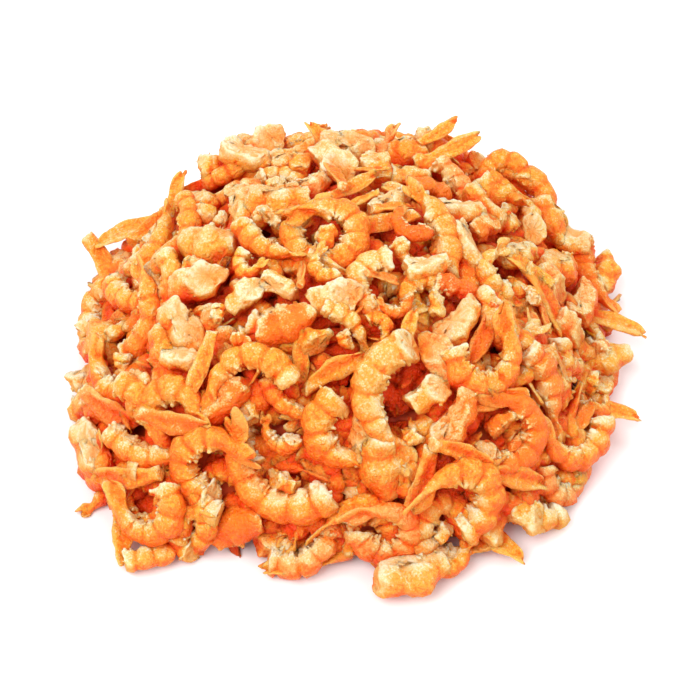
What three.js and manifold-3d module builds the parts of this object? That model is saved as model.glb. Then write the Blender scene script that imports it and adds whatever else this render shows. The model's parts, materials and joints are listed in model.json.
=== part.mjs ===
// A heap of dried peeled shrimp, fused into one solid that stands on a flat underside.
// The heap is poured by a seeded rule: every shrimp is a bent chain of balls that drops until it touches.
// The ones on top that can be told apart are then laid by hand.
import * as THREE from "three";
import { mergeVertices } from "three/addons/utils/BufferGeometryUtils.js";
import Module from "manifold-3d";

// Outline of the heap seen from above, and its height, in millimetres
const HALF_WIDTH = 70;
const FRONT_DEPTH = 61;
const BACK_DEPTH = 80;
const SQUARENESS = 2.5;
const UNEVEN = [[2, 0.027], [3, -0.02], [5, 0.025]];
const NOTCH = { at: -2.0, depth: 0.13, width: 0.17 };
const HEAP_TOP = 48;
const RIM_HEIGHT = 5;
const BULGE = 2.2;

// The bed that the loose shrimps are poured on
const BED = { share: 0.8, top: 34, rim: 0 };

// The filling of the solid, whose top follows the pile a little under its surface
const FILL_SHARE = 0.97;
const FILL_SUNK = 2.2;
const FILL_SMOOTHED = 2.5;
const FILL_SIDES = 30;
const FILL_RINGS = 8;

// How the pieces are poured
const SEED = 11;
const SQUEEZE = 0.86;
const TOWARDS_FRONT = 0.42;
const PLACES_TRIED = 10;
const IDLE_LIMIT = 30;
const SUNK_UNDER_TOP_PIECES = 5.5;

// How many pieces are carried into the solid
const TRIANGLE_BUDGET = 6200;
const SLIVER = 0.45;
const LEAST_IN_THE_OPEN = 0.3;
const LEAST_APART = 6;

// One shrimp: its spine is straight at the tail, from TAIL_STARTS on, and curls before it
const STATIONS = 12;
const TAIL_STARTS = 0.78;
const BODY = [
  [0, 0.66], [0.08, 0.9], [0.25, 1], [0.5, 0.93], [0.68, 0.72], [0.8, 0.44], [0.9, 0.5], [1, 0.14],
];
const FAN = [[0, 0.6], [0.25, 0.62], [0.6, 1], [0.85, 0.72], [1, 0.15]];
const LUMP = [[0, 0.6], [0.15, 0.95], [0.5, 1], [0.85, 0.86], [1, 0.45]];
const LONG_RINGS = [0.015, 0.17, 0.38, 0.58, 0.78, 0.91];
const FAN_RINGS = [0.02, 0.6, 0.9];
const LUMP_RINGS = [0.04, 0.5, 0.95];
const KINDS = {
  ring: { length: 41, curl: 270, back: -10, girth: 7.6, pitch: 4, outline: BODY, share: 0.1 },
  horseshoe: { length: 38, curl: 205, back: 15, girth: 7.8, pitch: 2, outline: BODY, share: 0.19 },
  hook: { length: 34, curl: 135, back: 25, girth: 7.2, pitch: 2, outline: BODY, share: 0.17 },
  comma: { length: 26, curl: 165, back: 0, girth: 7.2, pitch: 2, outline: BODY, share: 0.18 },
  arc: { length: 26, curl: 60, back: 0, girth: 7, pitch: 0, outline: BODY, share: 0.09 },
  tail: { length: 18, curl: 18, back: 0, girth: 5.2, pitch: 0, outline: FAN, share: 0.07 },
  chunk: { length: 13, curl: 30, back: 0, girth: 8, pitch: 0, outline: LUMP, share: 0.13 },
  nugget: { length: 9, curl: 0, back: 0, girth: 7.4, pitch: 0, outline: LUMP, share: 0.07 },
};
const SMALL_KINDS = ["tail", "chunk", "nugget", "comma"];

// Laid by hand on the heap: kind, across, back, raised above the dome, turn, size, side it curls to
const ON_TOP = [
  ["horseshoe", -3, 8, 2, 0, 1, 1],
  ["comma", -9, 10, 0, 185, 1, -1],
  ["horseshoe", 9, -9, 1, 175, 0.85, 1],
  ["comma", 18, -8, -1, 110, 0.85, 1],
  ["hook", 10, -35, 3, 190, 1.2, 1],
  ["horseshoe", 34, -22, 2, -85, 1, 1],
  ["hook", -18, -45, 3.5, 215, 1.25, -1],
  ["hook", -24, -29, 1.5, 110, 0.95, 1],
  ["horseshoe", -31, -43, 1, 165, 1, -1],
  ["horseshoe", 27, -49, 2.5, 30, 1.1, 1],
  ["ring", 9, -54, 1.5, -75, 1, 1],
  ["horseshoe", -47, -49, 1.5, -60, 0.9, -1],
  ["hook", 55, -30, 0, -85, 1, -1],
  ["horseshoe", 40, -34, 0, -25, 1, 1],
  ["comma", -39, -31, 0, 85, 1.1, -1],
  ["arc", -46, -32, 0, -35, 1.05, -1],
  ["arc", -46, -37, -1, -55, 1, 1],
  ["tail", -52, -41, 1, 185, 1.2, -1],
  ["chunk", -60, -30, 0, -90, 1.35, 1],
  ["chunk", -14, -17, 0, 0, 1.15, 1],
  ["chunk", -23, -9, 0, 60, 0.85, -1],
  ["chunk", -15, -8, 0, -20, 0.8, -1],
  ["chunk", -2, -12, 1, -10, 1.1, 1],
  ["nugget", -6, -22, 0, 40, 0.95, -1],
  ["arc", 2, -19, 0, -10, 0.7, -1],
  ["tail", 15, -21, 2, 90, 0.7, -1],
  ["arc", 29, -7, 0, 15, 0.8, -1],
  ["tail", 33, -16, 2.5, -95, 1, -1],
  ["tail", 38, -2, 2, 20, 0.8, -1],
  ["chunk", 27, -14, 0, 45, 1.15, 1],
  ["tail", -33, -26, 3.5, -110, 0.95, -1],
  ["chunk", -35, -1, 2, -20, 1.25, 1],
  ["arc", 22, 13, 1.5, 75, 1.15, 1],
  ["chunk", 20, -2, 2.5, 10, 0.95, 1],
  ["tail", 10, 13, 0, 210, 1.05, -1],
  ["chunk", 10, 21, 0, 20, 0.9, 1],
  ["chunk", 16, 37, 0, 0, 0.85, 1],
  ["chunk", 30, 10, 0, -70, 1.1, 1],
  ["comma", 37, 6, 0, 200, 0.85, -1],
  ["tail", 51, 4, 0, -35, 1.25, -1],
  ["chunk", -28, -31, -2, 10, 1.2, 1],
  ["arc", -12, -33, 0, -75, 0.7, 1],
  ["comma", -1, -40, 0, 200, 1.2, 1],
  ["chunk", 4, -40, -0.5, 80, 1.1, 1],
  ["chunk", 10, -44, 0, -95, 1.25, 1],
  ["tail", 14, -47, 1.5, -60, 0.6, -1],
  ["tail", -2, -28, 0, 40, 1, -1],
  ["tail", -10, -25, 0, -80, 0.85, -1],
  ["tail", 28, -43, 3, -5, 1.05, -1],
  ["tail", 18, -48, 1, -90, 1.15, -1],
  ["tail", 40, -43, 0, 10, 1.15, -1],
  ["nugget", 37, -33, -3, 60, 0.9, -1],
  ["arc", 52, -16, -2, -55, 0.9, -1],
  ["chunk", -26, 22, 0, -80, 1, -1],
  ["arc", -18, 6, 0, -70, 0.85, 1],
  ["arc", -53, 9, 0, -70, 1, 1],
  ["arc", -44, 1, 0, -70, 0.95, -1],
  ["comma", -62, 17, 0, 100, 1.1, -1],
  ["chunk", -25, -52, 0, 35, 1.2, -1],
  ["comma", -36, -52, 0, 150, 0.9, -1],
  ["chunk", -35, 65, 0, 70, 1.25, 1],
  ["chunk", -24, 49, 1, -35, 1.2, 1],
  ["nugget", -31, 38, 1, 90, 0.9, 1],
  ["chunk", -17, 54, -1, 0, 1.15, 1],
  ["tail", -13, 62, 2, 175, 0.95, 1],
  ["chunk", -10, 45, 1, 100, 0.9, -1],
  ["chunk", -3, 39, 1, -35, 1.25, -1],
  ["nugget", -37, 33, 1, 90, 1.3, 1],
  ["chunk", -17, 25, 1, -20, 1.3, 1],
  ["chunk", -26, 33, 0, 0, 0.9, -1],
  ["nugget", -20, 19, 0, 40, 0.8, 1],
  ["tail", 2, 27, 2, 20, 0.9, 1],
  ["chunk", 8, 38, 1, 80, 1, 1],
  ["chunk", -10, 30, 0, 10, 0.9, 1],
  ["chunk", 32, 52, 0, -10, 1, 1],
  ["arc", 29, 34, 1, -35, 0.85, -1],
  ["chunk", 35, 20, 1, 30, 0.9, 1],
  ["chunk", 36, 28, 2, -60, 1.1, 1],
  ["chunk", 29, 22, 2, 5, 1.1, 1],
  ["nugget", 42, 27, 1, 0, 0.9, 1],
  ["chunk", 41, 42, 2, -25, 1.25, 1],
  ["chunk", 48, 32, 1, -60, 1.1, -1],
  ["chunk", 43, 15, 1, 20, 0.9, 1],
  ["tail", 46, 10, 2, 160, 0.9, 1],
  ["chunk", 54, 21, 0, 20, 1.2, 1],
  ["chunk", 53, 12, 0, -70, 0.95, 1],
  ["chunk", 61, 14, 0, 60, 1.2, 1],
  ["chunk", 57, 1, 0, -45, 0.95, 1],
  ["chunk", 54, -9, 0, -20, 0.95, 1],
  ["chunk", 51, -16, 1, -60, 1.3, 1],
  ["comma", 40, -11, 2, -120, 1.05, 1],
  ["tail", 47, -11, 1, 100, 1, 1],
  ["comma", 42, -19, 1, 20, 0.9, -1],
  ["arc", 49, -23, 1, -20, 1.05, -1],
  ["tail", 36, -30, 1, 185, 1, 1],
  ["chunk", 26, -35, 0, 60, 1.2, 1],
  ["chunk", 21, -24, -1, 90, 1.1, 1],
  ["chunk", 20, -31, 0, 20, 1, 1],
  ["chunk", -46, 5, 0, -70, 0.95, 1],
  ["hook", -50, 0, 1, -15, 1, 1],
  ["comma", -57, -14, 1, 230, 1.1, -1],
  ["chunk", -62, 0, 0, 90, 1.2, 1],
  ["chunk", -43, -18, 0, 75, 1.2, 1],
  ["chunk", -49, -24, 1, 70, 1, 1],
  ["chunk", -37, -13, 1, -80, 1.35, 1],
  ["chunk", -37, -21, 1, -30, 1, 1],
  ["chunk", -61, -17, 0, 80, 1.2, 1],
  ["tail", -57, -24, 2, -50, 1.2, 1],
  ["tail", -40, -35, 2, -30, 1.1, 1],
  ["chunk", -60, 36, -1, -70, 1, 1],
  ["nugget", -57, 42, 0, 0, 0.9, 1],
  ["chunk", -53, 24, 0, 0, 0.9, 1],
  ["arc", -48, 29, 1, 35, 1, 1],
  ["chunk", -45, 14, 1, 20, 1.1, 1],
  ["arc", -41, 25, 1, -60, 0.9, -1],
  ["chunk", -33, 13, 1, -40, 1.3, 1],
];

// Laid by hand at the edge: kind, across, back, height of its middle, turn, size, side, lean to the front
const AT_THE_EDGE = [
  ["arc", -43, -54, 3, -5, 0.85, 1, 0],
  ["tail", -53, -50, 4, -68, 1, -1, 10],
  ["tail", -9, -58, 3, 205, 1.25, -1, 0],
  ["chunk", -14, -53, 4, 30, 1.05, -1, 10],
  ["comma", 25, -57, 4, -90, 0.8, 1, 10],
  ["tail", 36, -52, 3, -25, 1.05, -1, 0],
  ["chunk", 42, -41, 6, 40, 1.1, -1, 20],
  ["nugget", 48, -40, 4, 0, 1, -1, 0],
  ["chunk", 15, -61, 4, 0, 1.35, 1, 0],
  ["chunk", -65, -2, 5, 30, 1, 1, 0],
  ["chunk", -66, 13, 6, 10, 0.75, 1, 0],
  ["chunk", -63, -24, 5, 90, 1, 1, 0],
  ["tail", 65, -15, 6, 0, 1.15, -1, 0],
  ["chunk", 66, 1, 8, -8, 1.15, 1, 0],
  ["chunk", 63, -7, 6, -5, 0.95, 1, 0],
  ["tail", 69, 12, 9, -12, 1.2, -1, 0],
  ["chunk", 69, 31, 10, 60, 1, 1, 0],
  ["arc", 66, 26, 10, -110, 1.05, 1, 10],
  ["chunk", 59, 36, 16, -40, 1.25, 1, 20],
  ["chunk", 55, 39, 20, -80, 1.1, 1, 30],
  ["tail", -59, 43, 11, 195, 1.1, 1, 10],
  ["tail", -65, 34, 7, -50, 1.2, -1, 20],
  ["tail", -50, 42, 18, 45, 1.1, -1, 30],
  ["nugget", -42, 46, 21, 0, 0.75, 1, 20],
  ["tail", -45, 45, 23, 85, 0.75, -1, 40],
  ["nugget", -34, 50, 27, 0, 1.2, 1, 20],
  ["chunk", -28, 52, 29.5, 60, 1.1, 1, 30],
  ["chunk", -22, 55, 31, 20, 1.2, 1, 30],
  ["chunk", -25, 49, 33, -30, 1.2, 1, 30],
  ["chunk", -13, 48, 34.5, 10, 1.05, 1, 40],
  ["chunk", 0, 52, 35, -20, 1.2, 1, 40],
  ["tail", -5, 51, 36, 115, 0.85, 1, 35],
  ["arc", 7, 51, 32.5, 0, 0.85, 1, 40],
  ["chunk", 16, 53, 31.5, -20, 1, 1, 30],
  ["chunk", 21, 55, 29.5, 80, 1, 1, 30],
  ["tail", 29, 52, 33, 15, 0.95, 1, 30],
  ["tail", 25, 56, 35, 22, 0.75, 1, 30],
  ["comma", 41, 49, 27, 90, 0.9, 1, 45],
  ["arc", 50, 46, 23, -5, 1.1, -1, 35],
];

const radians = THREE.MathUtils.degToRad;

// A seeded draw, the same on every machine
let diceState = SEED;
function roll(low = 0, high = 1) {
  diceState = (diceState * 16807) % 2147483647;
  return low + ((high - low) * diceState) / 2147483647;
}

function ease(t) {
  const u = Math.min(Math.max(t, 0), 1);
  return u * u * (3 - 2 * u);
}

// Which way the spine points at t, 0 at the neck end and 1 at the tip of the tail
function heading(kind, t) {
  const along = Math.min(t / TAIL_STARTS, 1);
  const tail = ease((t - TAIL_STARTS) / (1 - TAIL_STARTS));
  return radians(kind.curl * (0.6 * along + 0.4 * ease(along)) - kind.back * tail);
}

function radiusAt(kind, t) {
  const outline = kind.outline;
  const next = Math.max(1, outline.findIndex(([at]) => t <= at));
  const [from, wide] = outline[next - 1];
  const [to, widened] = outline[next];
  return (kind.girth / 2) * (wide + ((widened - wide) * (t - from)) / (to - from));
}

// The spine as points, two for each ball, with the balls' mean at the origin
function spineOf(kind) {
  const step = kind.length / (2 * STATIONS);
  const points = [];
  let x = 0;
  let y = 0;
  for (let i = 0; i <= 2 * STATIONS; i++) {
    points.push(new THREE.Vector3(x, y, kind.pitch * (i / (2 * STATIONS) - 0.5)));
    const turn = heading(kind, (i + 0.5) / (2 * STATIONS));
    x += step * Math.cos(turn);
    y += step * Math.sin(turn);
  }
  const middle = new THREE.Vector3();
  for (let i = 1; i < 2 * STATIONS; i += 2) middle.addScaledVector(points[i], 1 / STATIONS);
  return points.map((point) => point.sub(middle));
}

for (const kind of Object.values(KINDS)) {
  kind.spine = spineOf(kind);
  kind.balls = [];
  for (let i = 1; i < 2 * STATIONS; i += 2) {
    kind.balls.push({ at: kind.spine[i], radius: radiusAt(kind, i / (2 * STATIONS)) });
  }
}

// Turned in its own plane by spin, then tipped by lean towards facing
function turned(point, pose) {
  const side = pose.mirrored ? -point.y : point.y;
  const spin = pose.spin - pose.facing;
  const x = Math.cos(spin) * point.x - Math.sin(spin) * side;
  const y = Math.sin(spin) * point.x + Math.cos(spin) * side;
  const tippedX = Math.cos(pose.lean) * x + Math.sin(pose.lean) * point.z;
  const tippedZ = -Math.sin(pose.lean) * x + Math.cos(pose.lean) * point.z;
  return new THREE.Vector3(
    Math.cos(pose.facing) * tippedX - Math.sin(pose.facing) * y,
    Math.sin(pose.facing) * tippedX + Math.cos(pose.facing) * y,
    tippedZ,
  );
}

// How far the heap reaches in a direction, and how high it stands over a place
function reach(angle) {
  const depth = Math.sin(angle) > 0 ? BACK_DEPTH : FRONT_DEPTH;
  const across = (Math.abs(Math.cos(angle)) / HALF_WIDTH) ** SQUARENESS;
  const back = (Math.abs(Math.sin(angle)) / depth) ** SQUARENESS;
  let wave = 1;
  for (const [times, size] of UNEVEN) wave += size * Math.sin(times * angle);
  wave -= NOTCH.depth * Math.exp(-(((angle - NOTCH.at) / NOTCH.width) ** 2));
  return (across + back) ** (-1 / SQUARENESS) * wave;
}

function domeHeight(x, y, { share, top, rim } = { share: 1, top: HEAP_TOP, rim: RIM_HEIGHT }) {
  const out = Math.hypot(x, y) / (share * reach(Math.atan2(y, x)));
  return out < 1 ? rim + (top - rim) * (1 - out ** BULGE) : 0;
}

function slopeAt(x, y) {
  const edge = reach(Math.atan2(y, x));
  const out = Math.min(Math.hypot(x, y) / edge, 1);
  return Math.atan(((BULGE * (HEAP_TOP - RIM_HEIGHT)) / edge) * out ** (BULGE - 1));
}

const pieces = [];
const balls = [];

// Top of everything laid so far over one place
function heightAt(x, y) {
  let height = domeHeight(x, y, BED);
  for (const ball of balls) {
    const apart = (ball.x - x) ** 2 + (ball.y - y) ** 2;
    if (apart < ball.r ** 2) height = Math.max(height, ball.z + Math.sqrt(ball.r ** 2 - apart));
  }
  return height;
}

function posedBalls(pose) {
  return KINDS[pose.kind].balls.map(({ at, radius }) => {
    const p = turned(at, pose).multiplyScalar(pose.size);
    return { x: p.x + pose.x, y: p.y + pose.y, z: p.z, r: radius * pose.size };
  });
}

// The height at which a posed piece comes to rest on the floor, the bed and its neighbours
function restOf(posed, near) {
  let lift = -Infinity;
  for (const ball of posed) {
    lift = Math.max(lift, ball.r - ball.z);
    const bed = domeHeight(ball.x, ball.y, BED);
    if (bed > 0) lift = Math.max(lift, bed + ball.r - ball.z);
    for (const other of near) {
      const apart = (other.x - ball.x) ** 2 + (other.y - ball.y) ** 2;
      const touch = (SQUEEZE * (other.r + ball.r)) ** 2;
      if (apart < touch) lift = Math.max(lift, other.z + Math.sqrt(touch - apart) - ball.z);
    }
  }
  return lift;
}

function neighbours(pose, margin) {
  const { balls: own } = KINDS[pose.kind];
  const length = Math.max(...own.map(({ at }) => at.length())) * pose.size;
  const room = length + 2 * Math.max(...own.map(({ radius }) => radius)) * pose.size + margin;
  return balls.filter((ball) => Math.abs(ball.x - pose.x) < room && Math.abs(ball.y - pose.y) < room);
}

function keep(pose, posed, z) {
  const lifted = posed.map((ball) => ({ ...ball, z: ball.z + z }));
  balls.push(...lifted);
  pieces.push({ ...pose, z, balls: lifted });
}

// Drops a piece and lets it wriggle into the lowest of a few poses, unless it would stand out of the heap
function drop(pose, mayStandOut, keptLow) {
  const near = neighbours(pose, 9);
  let best = pose;
  let posed = posedBalls(best);
  let low = restOf(posed, near);
  for (let i = 0; i < 14; i++) {
    const next = { ...best };
    next.x += roll(-1.5, 1.5);
    next.y += roll(-1.5, 1.5);
    next.facing += roll(-0.2, 0.2);
    next.lean += roll(-0.2, 0.2);
    next.spin += roll(-0.2, 0.2);
    const tried = posedBalls(next);
    const height = restOf(tried, near);
    if (height < low) [best, posed, low] = [next, tried, height];
  }
  const standsOut = posed.some((ball) => {
    const under = keptLow.some((spot) => Math.hypot(ball.x - spot.x, ball.y - spot.y) < spot.radius);
    const above = ball.z + low + ball.r - domeHeight(ball.x, ball.y);
    return above + (under ? SUNK_UNDER_TOP_PIECES : 0) > mayStandOut;
  });
  if (!standsOut) keep(best, posed, low);
  return !standsOut;
}

function pick(names) {
  let left = roll(0, names.reduce((sum, name) => sum + KINDS[name].share, 0));
  for (const name of names) {
    left -= KINDS[name].share;
    if (left <= 0) return name;
  }
  return names[names.length - 1];
}

// Drops pieces where the heap is lowest under its dome, until no place lacks more than the gap
function pour(names, gap, smallest, largest, mayStandOut, keptLow = []) {
  let idle = 0;
  while (idle < IDLE_LIMIT) {
    let lowest = { lacks: -Infinity };
    for (let i = 0; i < PLACES_TRIED; i++) {
      const angle = roll(-Math.PI, Math.PI);
      const out = 0.94 * Math.sqrt(roll()) * reach(angle);
      const x = out * Math.cos(angle);
      const y = out * Math.sin(angle);
      let lacks = domeHeight(x, y) - heightAt(x, y);
      if (keptLow.some((spot) => Math.hypot(x - spot.x, y - spot.y) < spot.radius)) lacks -= 7;
      if (lacks > lowest.lacks) lowest = { lacks, x, y, angle };
    }
    if (lowest.lacks < gap) {
      idle += 1;
      continue;
    }
    const { x, y, angle } = lowest;
    const pose = {
      kind: pick(names),
      x,
      y,
      facing: angle + roll(-0.7, 0.7),
      lean: slopeAt(x, y) + roll(-0.5, 0.5),
      spin: roll(0, 2 * Math.PI),
      mirrored: roll() < 0.5,
      size: roll(smallest, largest),
    };
    idle = drop(pose, mayStandOut, keptLow) ? 0 : idle + 1;
  }
}

// Lays a piece near the height it is meant to have
function lay(pose, height) {
  const posed = posedBalls(pose);
  const floor = Math.max(...posed.map((ball) => ball.r - ball.z));
  const touching = restOf(posed, neighbours(pose, 5));
  const z = Math.min(Math.max(touching, height - 2.5), height + 0.5);
  keep(pose, posed, Math.max(z, floor));
}

const handLaid = [];
for (const [kind, x, y, raised, turn, size, side] of ON_TOP) {
  const up = Math.tan(slopeAt(x, y));
  const across = (up * x) / Math.hypot(x, y);
  const back = (up * y) / Math.hypot(x, y) - TOWARDS_FRONT;
  const facing = Math.atan2(back, across);
  const lean = Math.atan(Math.hypot(across, back));
  const pose = { kind, x, y, facing, lean, spin: radians(turn), mirrored: side < 0, size };
  handLaid.push({ pose, height: domeHeight(x, y) - 2 + raised });
}
for (const [kind, x, y, height, turn, size, side, tip] of AT_THE_EDGE) {
  const facing = -Math.PI / 2;
  const pose = { kind, x, y, facing, lean: radians(tip), spin: radians(turn), mirrored: side < 0, size };
  handLaid.push({ pose, height });
}

const keptLow = handLaid
  .filter(({ height }) => height > 8)
  .map(({ pose }) => ({ x: pose.x, y: pose.y, radius: KINDS[pose.kind].length < 20 ? 5 : 8 }));
pour(Object.keys(KINDS), 5, 0.7, 1.02, 4, keptLow);
const firstOnTop = pieces.length;
for (const { pose, height } of handLaid) lay(pose, height);
const firstSmall = pieces.length;
pour(SMALL_KINDS, 4.5, 0.6, 0.9, 3.5);

const wasm = await Module();
wasm.setup();

// A closed three.js geometry as a solid, turned right side out if it was mirrored
function solidOf(geometry) {
  const bare = geometry.clone().deleteAttribute("normal").deleteAttribute("uv");
  const merged = mergeVertices(bare, 1e-4);
  const make = (triVerts) =>
    new wasm.Manifold(
      new wasm.Mesh({ numProp: 3, vertProperties: merged.attributes.position.array, triVerts }),
    );
  const index = new Uint32Array(merged.index.array);
  const solid = make(index);
  return solid.volume() > 0 ? solid : make(index.reverse());
}

// A spindle from a lathe, bent along the spine of its kind
function shrimpGeometry(piece, sides) {
  const kind = KINDS[piece.kind];
  const rings = { [BODY]: LONG_RINGS, [FAN]: FAN_RINGS, [LUMP]: LUMP_RINGS }[kind.outline];
  const profile = [new THREE.Vector2(0, 0)];
  for (const t of rings) profile.push(new THREE.Vector2(radiusAt(kind, t), t));
  profile.push(new THREE.Vector2(0, 1));
  const geometry = new THREE.LatheGeometry(profile, sides, 0.3);
  const position = geometry.attributes.position;
  for (let i = 0; i < position.count; i++) {
    const t = position.getY(i);
    const place = t * 2 * STATIONS;
    const before = Math.min(Math.floor(place), 2 * STATIONS - 1);
    const bent = kind.spine[before].clone().lerp(kind.spine[before + 1], place - before);
    const angle = heading(kind, t);
    bent.x -= position.getX(i) * Math.sin(angle);
    bent.y += position.getX(i) * Math.cos(angle);
    bent.z += position.getZ(i);
    const put = turned(bent, piece).multiplyScalar(piece.size);
    position.setXYZ(i, put.x + piece.x, put.y + piece.y, Math.max(put.z + piece.z, 0));
  }
  return geometry;
}

// The share of a piece that nothing else covers, looking straight out of the heap
function inTheOpen(piece) {
  const open = piece.balls.filter((ball) => {
    const slope = slopeAt(ball.x, ball.y);
    const angle = Math.atan2(ball.y, ball.x);
    const out = new THREE.Vector3(
      Math.sin(slope) * Math.cos(angle),
      Math.sin(slope) * Math.sin(angle),
      Math.cos(slope),
    );
    return !pieces.some((other) =>
      other !== piece && other.balls.some((cover) => {
        const apart = new THREE.Vector3(cover.x - ball.x, cover.y - ball.y, cover.z - ball.z);
        const ahead = apart.dot(out);
        return ahead > 0 && apart.lengthSq() - ahead ** 2 < cover.r ** 2;
      }),
    );
  });
  return open.length / piece.balls.length;
}

// The filling is a lathe with its rings drawn out to the heap's outline and lifted to the pile
function fillGeometry() {
  const profile = [new THREE.Vector2(0, 0)];
  for (let i = FILL_RINGS; i > 0; i--) {
    profile.push(new THREE.Vector2(i / FILL_RINGS, i < FILL_RINGS ? 1 : 0));
  }
  profile.push(new THREE.Vector2(0, 1));
  const geometry = new THREE.LatheGeometry(profile, FILL_SIDES);
  const position = geometry.attributes.position;
  for (let i = 0; i < position.count; i++) {
    const angle = Math.atan2(position.getX(i), position.getZ(i));
    const out = Math.hypot(position.getX(i), position.getZ(i)) * FILL_SHARE * reach(angle);
    const x = out * Math.cos(angle);
    const y = out * Math.sin(angle);
    let height = heightAt(x, y);
    for (const [across, back] of [[1, 0], [-1, 0], [0, 1], [0, -1]]) {
      height += heightAt(x + across * FILL_SMOOTHED, y + back * FILL_SMOOTHED);
    }
    const top = Math.max(height / 5 - FILL_SUNK, 0.8);
    position.setXYZ(i, x, y, position.getY(i) > 0 ? top : 0);
  }
  return geometry;
}

// The hand-laid pieces come first, then the loose ones that lie most in the open, evenly spread
const carried = pieces.slice(firstOnTop, firstSmall);
const loose = [...pieces.slice(0, firstOnTop), ...pieces.slice(firstSmall)]
  .map((piece) => ({ piece, share: inTheOpen(piece), length: KINDS[piece.kind].length * piece.size }))
  .filter(({ share }) => share > LEAST_IN_THE_OPEN)
  .sort((a, b) => b.share * b.length - a.share * a.length);
for (const { piece } of loose) {
  const place = new THREE.Vector3(piece.x, piece.y, piece.z);
  const crowded = carried.some(({ x, y, z }) => place.distanceTo(new THREE.Vector3(x, y, z)) < LEAST_APART);
  if (!crowded) carried.push(piece);
}

let heap = solidOf(fillGeometry());
let triangles = heap.numTri();
for (const [i, piece] of carried.entries()) {
  const plain = i >= handLaid.length || KINDS[piece.kind].length < 30;
  const solid = solidOf(shrimpGeometry(piece, plain ? 5 : 6));
  triangles += solid.numTri();
  if (triangles > TRIANGLE_BUDGET) break;
  heap = heap.add(solid);
}

// Keeping only the outer body fills the hollows that fusing seals and drops what nothing holds
function outerBody(solid) {
  return solid.decompose().sort((a, b) => b.volume() - a.volume())[0];
}
const fused = outerBody(outerBody(heap).simplify(SLIVER)).getMesh();

// The heap stands with the middle of its outline on the origin
const geometry = new THREE.BufferGeometry();
geometry.setAttribute("position", new THREE.BufferAttribute(new Float32Array(fused.vertProperties), 3));
geometry.setIndex(new THREE.BufferAttribute(new Uint32Array(fused.triVerts), 1));
geometry.computeBoundingBox();
const middle = geometry.boundingBox.getCenter(new THREE.Vector3());
geometry.translate(-middle.x, -middle.y, 0);

const shrimpMaterial = new THREE.MeshStandardMaterial({ color: 0xeb9751, roughness: 0.62, metalness: 0 });
const heapMesh = new THREE.Mesh(geometry, shrimpMaterial);
heapMesh.name = "shrimp_heap";

const heapOfShrimp = new THREE.Group();
heapOfShrimp.name = "heap_of_dried_shrimp";
heapOfShrimp.add(heapMesh);

export default heapOfShrimp;
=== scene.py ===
# %% [markdown]
# # A heap of dried shrimp
# The object is a loose heap of dried, peeled shrimp: curled bodies, broken lumps and tails with their
# shell fans, several hundred of them, lying as they were poured.
# We load the solid that holds the heap's size and place, and dress it with the real things.
# The solid was poured by a rule. We repeat that rule here, so every shrimp lies where it lies in the solid.

# %% The frame
import json
import math
import random

import bpy
import numpy as np
from mathutils import Matrix, Vector

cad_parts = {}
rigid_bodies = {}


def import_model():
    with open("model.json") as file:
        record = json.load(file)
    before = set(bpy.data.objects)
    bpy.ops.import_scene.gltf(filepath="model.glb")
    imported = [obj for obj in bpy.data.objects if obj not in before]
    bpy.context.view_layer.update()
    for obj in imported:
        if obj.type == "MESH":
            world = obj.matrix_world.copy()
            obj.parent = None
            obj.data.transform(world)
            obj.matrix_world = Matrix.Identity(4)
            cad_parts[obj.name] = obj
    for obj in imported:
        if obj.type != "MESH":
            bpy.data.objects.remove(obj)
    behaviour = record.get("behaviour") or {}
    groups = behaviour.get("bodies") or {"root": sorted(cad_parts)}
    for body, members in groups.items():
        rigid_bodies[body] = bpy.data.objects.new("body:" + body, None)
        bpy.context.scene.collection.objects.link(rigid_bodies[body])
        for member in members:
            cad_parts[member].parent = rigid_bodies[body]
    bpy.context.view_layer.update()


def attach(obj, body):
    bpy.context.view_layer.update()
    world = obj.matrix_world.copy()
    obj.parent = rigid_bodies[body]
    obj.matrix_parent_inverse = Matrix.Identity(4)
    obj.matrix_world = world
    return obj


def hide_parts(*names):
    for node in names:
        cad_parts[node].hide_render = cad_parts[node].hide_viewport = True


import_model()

# %% [markdown]
# ## Camera, floor and light
# The heap is seen from a step away and 50 degrees above the table, through a short telephoto lens,
# so the far side hardly shrinks. The floor is a plain sheet, larger than the view.
# Three soft boxes and a bright, even surround give the light of a product photograph: hardly any
# shadow, and light that reaches into the gaps. Colours stay as they are with the Standard view.

# %% Camera
MM = 0.001
LOOK_AT = Vector((-1.8, -8.3, 13)) * MM
CAMERA_DISTANCE = 420 * MM
CAMERA_ELEVATION = math.radians(50)

scene = bpy.context.scene
toward_camera = Vector((0, -math.cos(CAMERA_ELEVATION), math.sin(CAMERA_ELEVATION)))
bpy.ops.object.camera_add(location=LOOK_AT + toward_camera * CAMERA_DISTANCE)
camera = bpy.context.object
camera.rotation_euler = toward_camera.to_track_quat("Z", "Y").to_euler()
camera.data.lens = 85
camera.data.sensor_width = 36
camera.data.clip_start = 0.01
scene.camera = camera
print("camera at", [round(v, 3) for v in camera.location])

# %% Floor and lights
FLOOR_SIZE = 3.0
SURROUND_COLOUR, SURROUND_STRENGTH = (1.0, 0.99, 0.98, 1), 0.72


def soft_box(name, azimuth, elevation, distance, size, power):
    """A square area light that points at the heap."""
    flat = math.cos(math.radians(elevation))
    out = Vector((
        math.sin(math.radians(azimuth)) * flat,
        -math.cos(math.radians(azimuth)) * flat,
        math.sin(math.radians(elevation)),
    ))
    bpy.ops.object.light_add(type="AREA", location=out * distance)
    light = bpy.context.object
    light.name = name
    light.rotation_euler = out.to_track_quat("Z", "Y").to_euler()
    light.data.size = size
    light.data.energy = power
    return light


soft_box("soft_box_left", -50, 55, 0.7, 0.5, 3.9)
soft_box("soft_box_back", 150, 60, 0.8, 0.6, 2.3)
soft_box("soft_box_right", 60, 40, 0.8, 0.5, 1.4)

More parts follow.
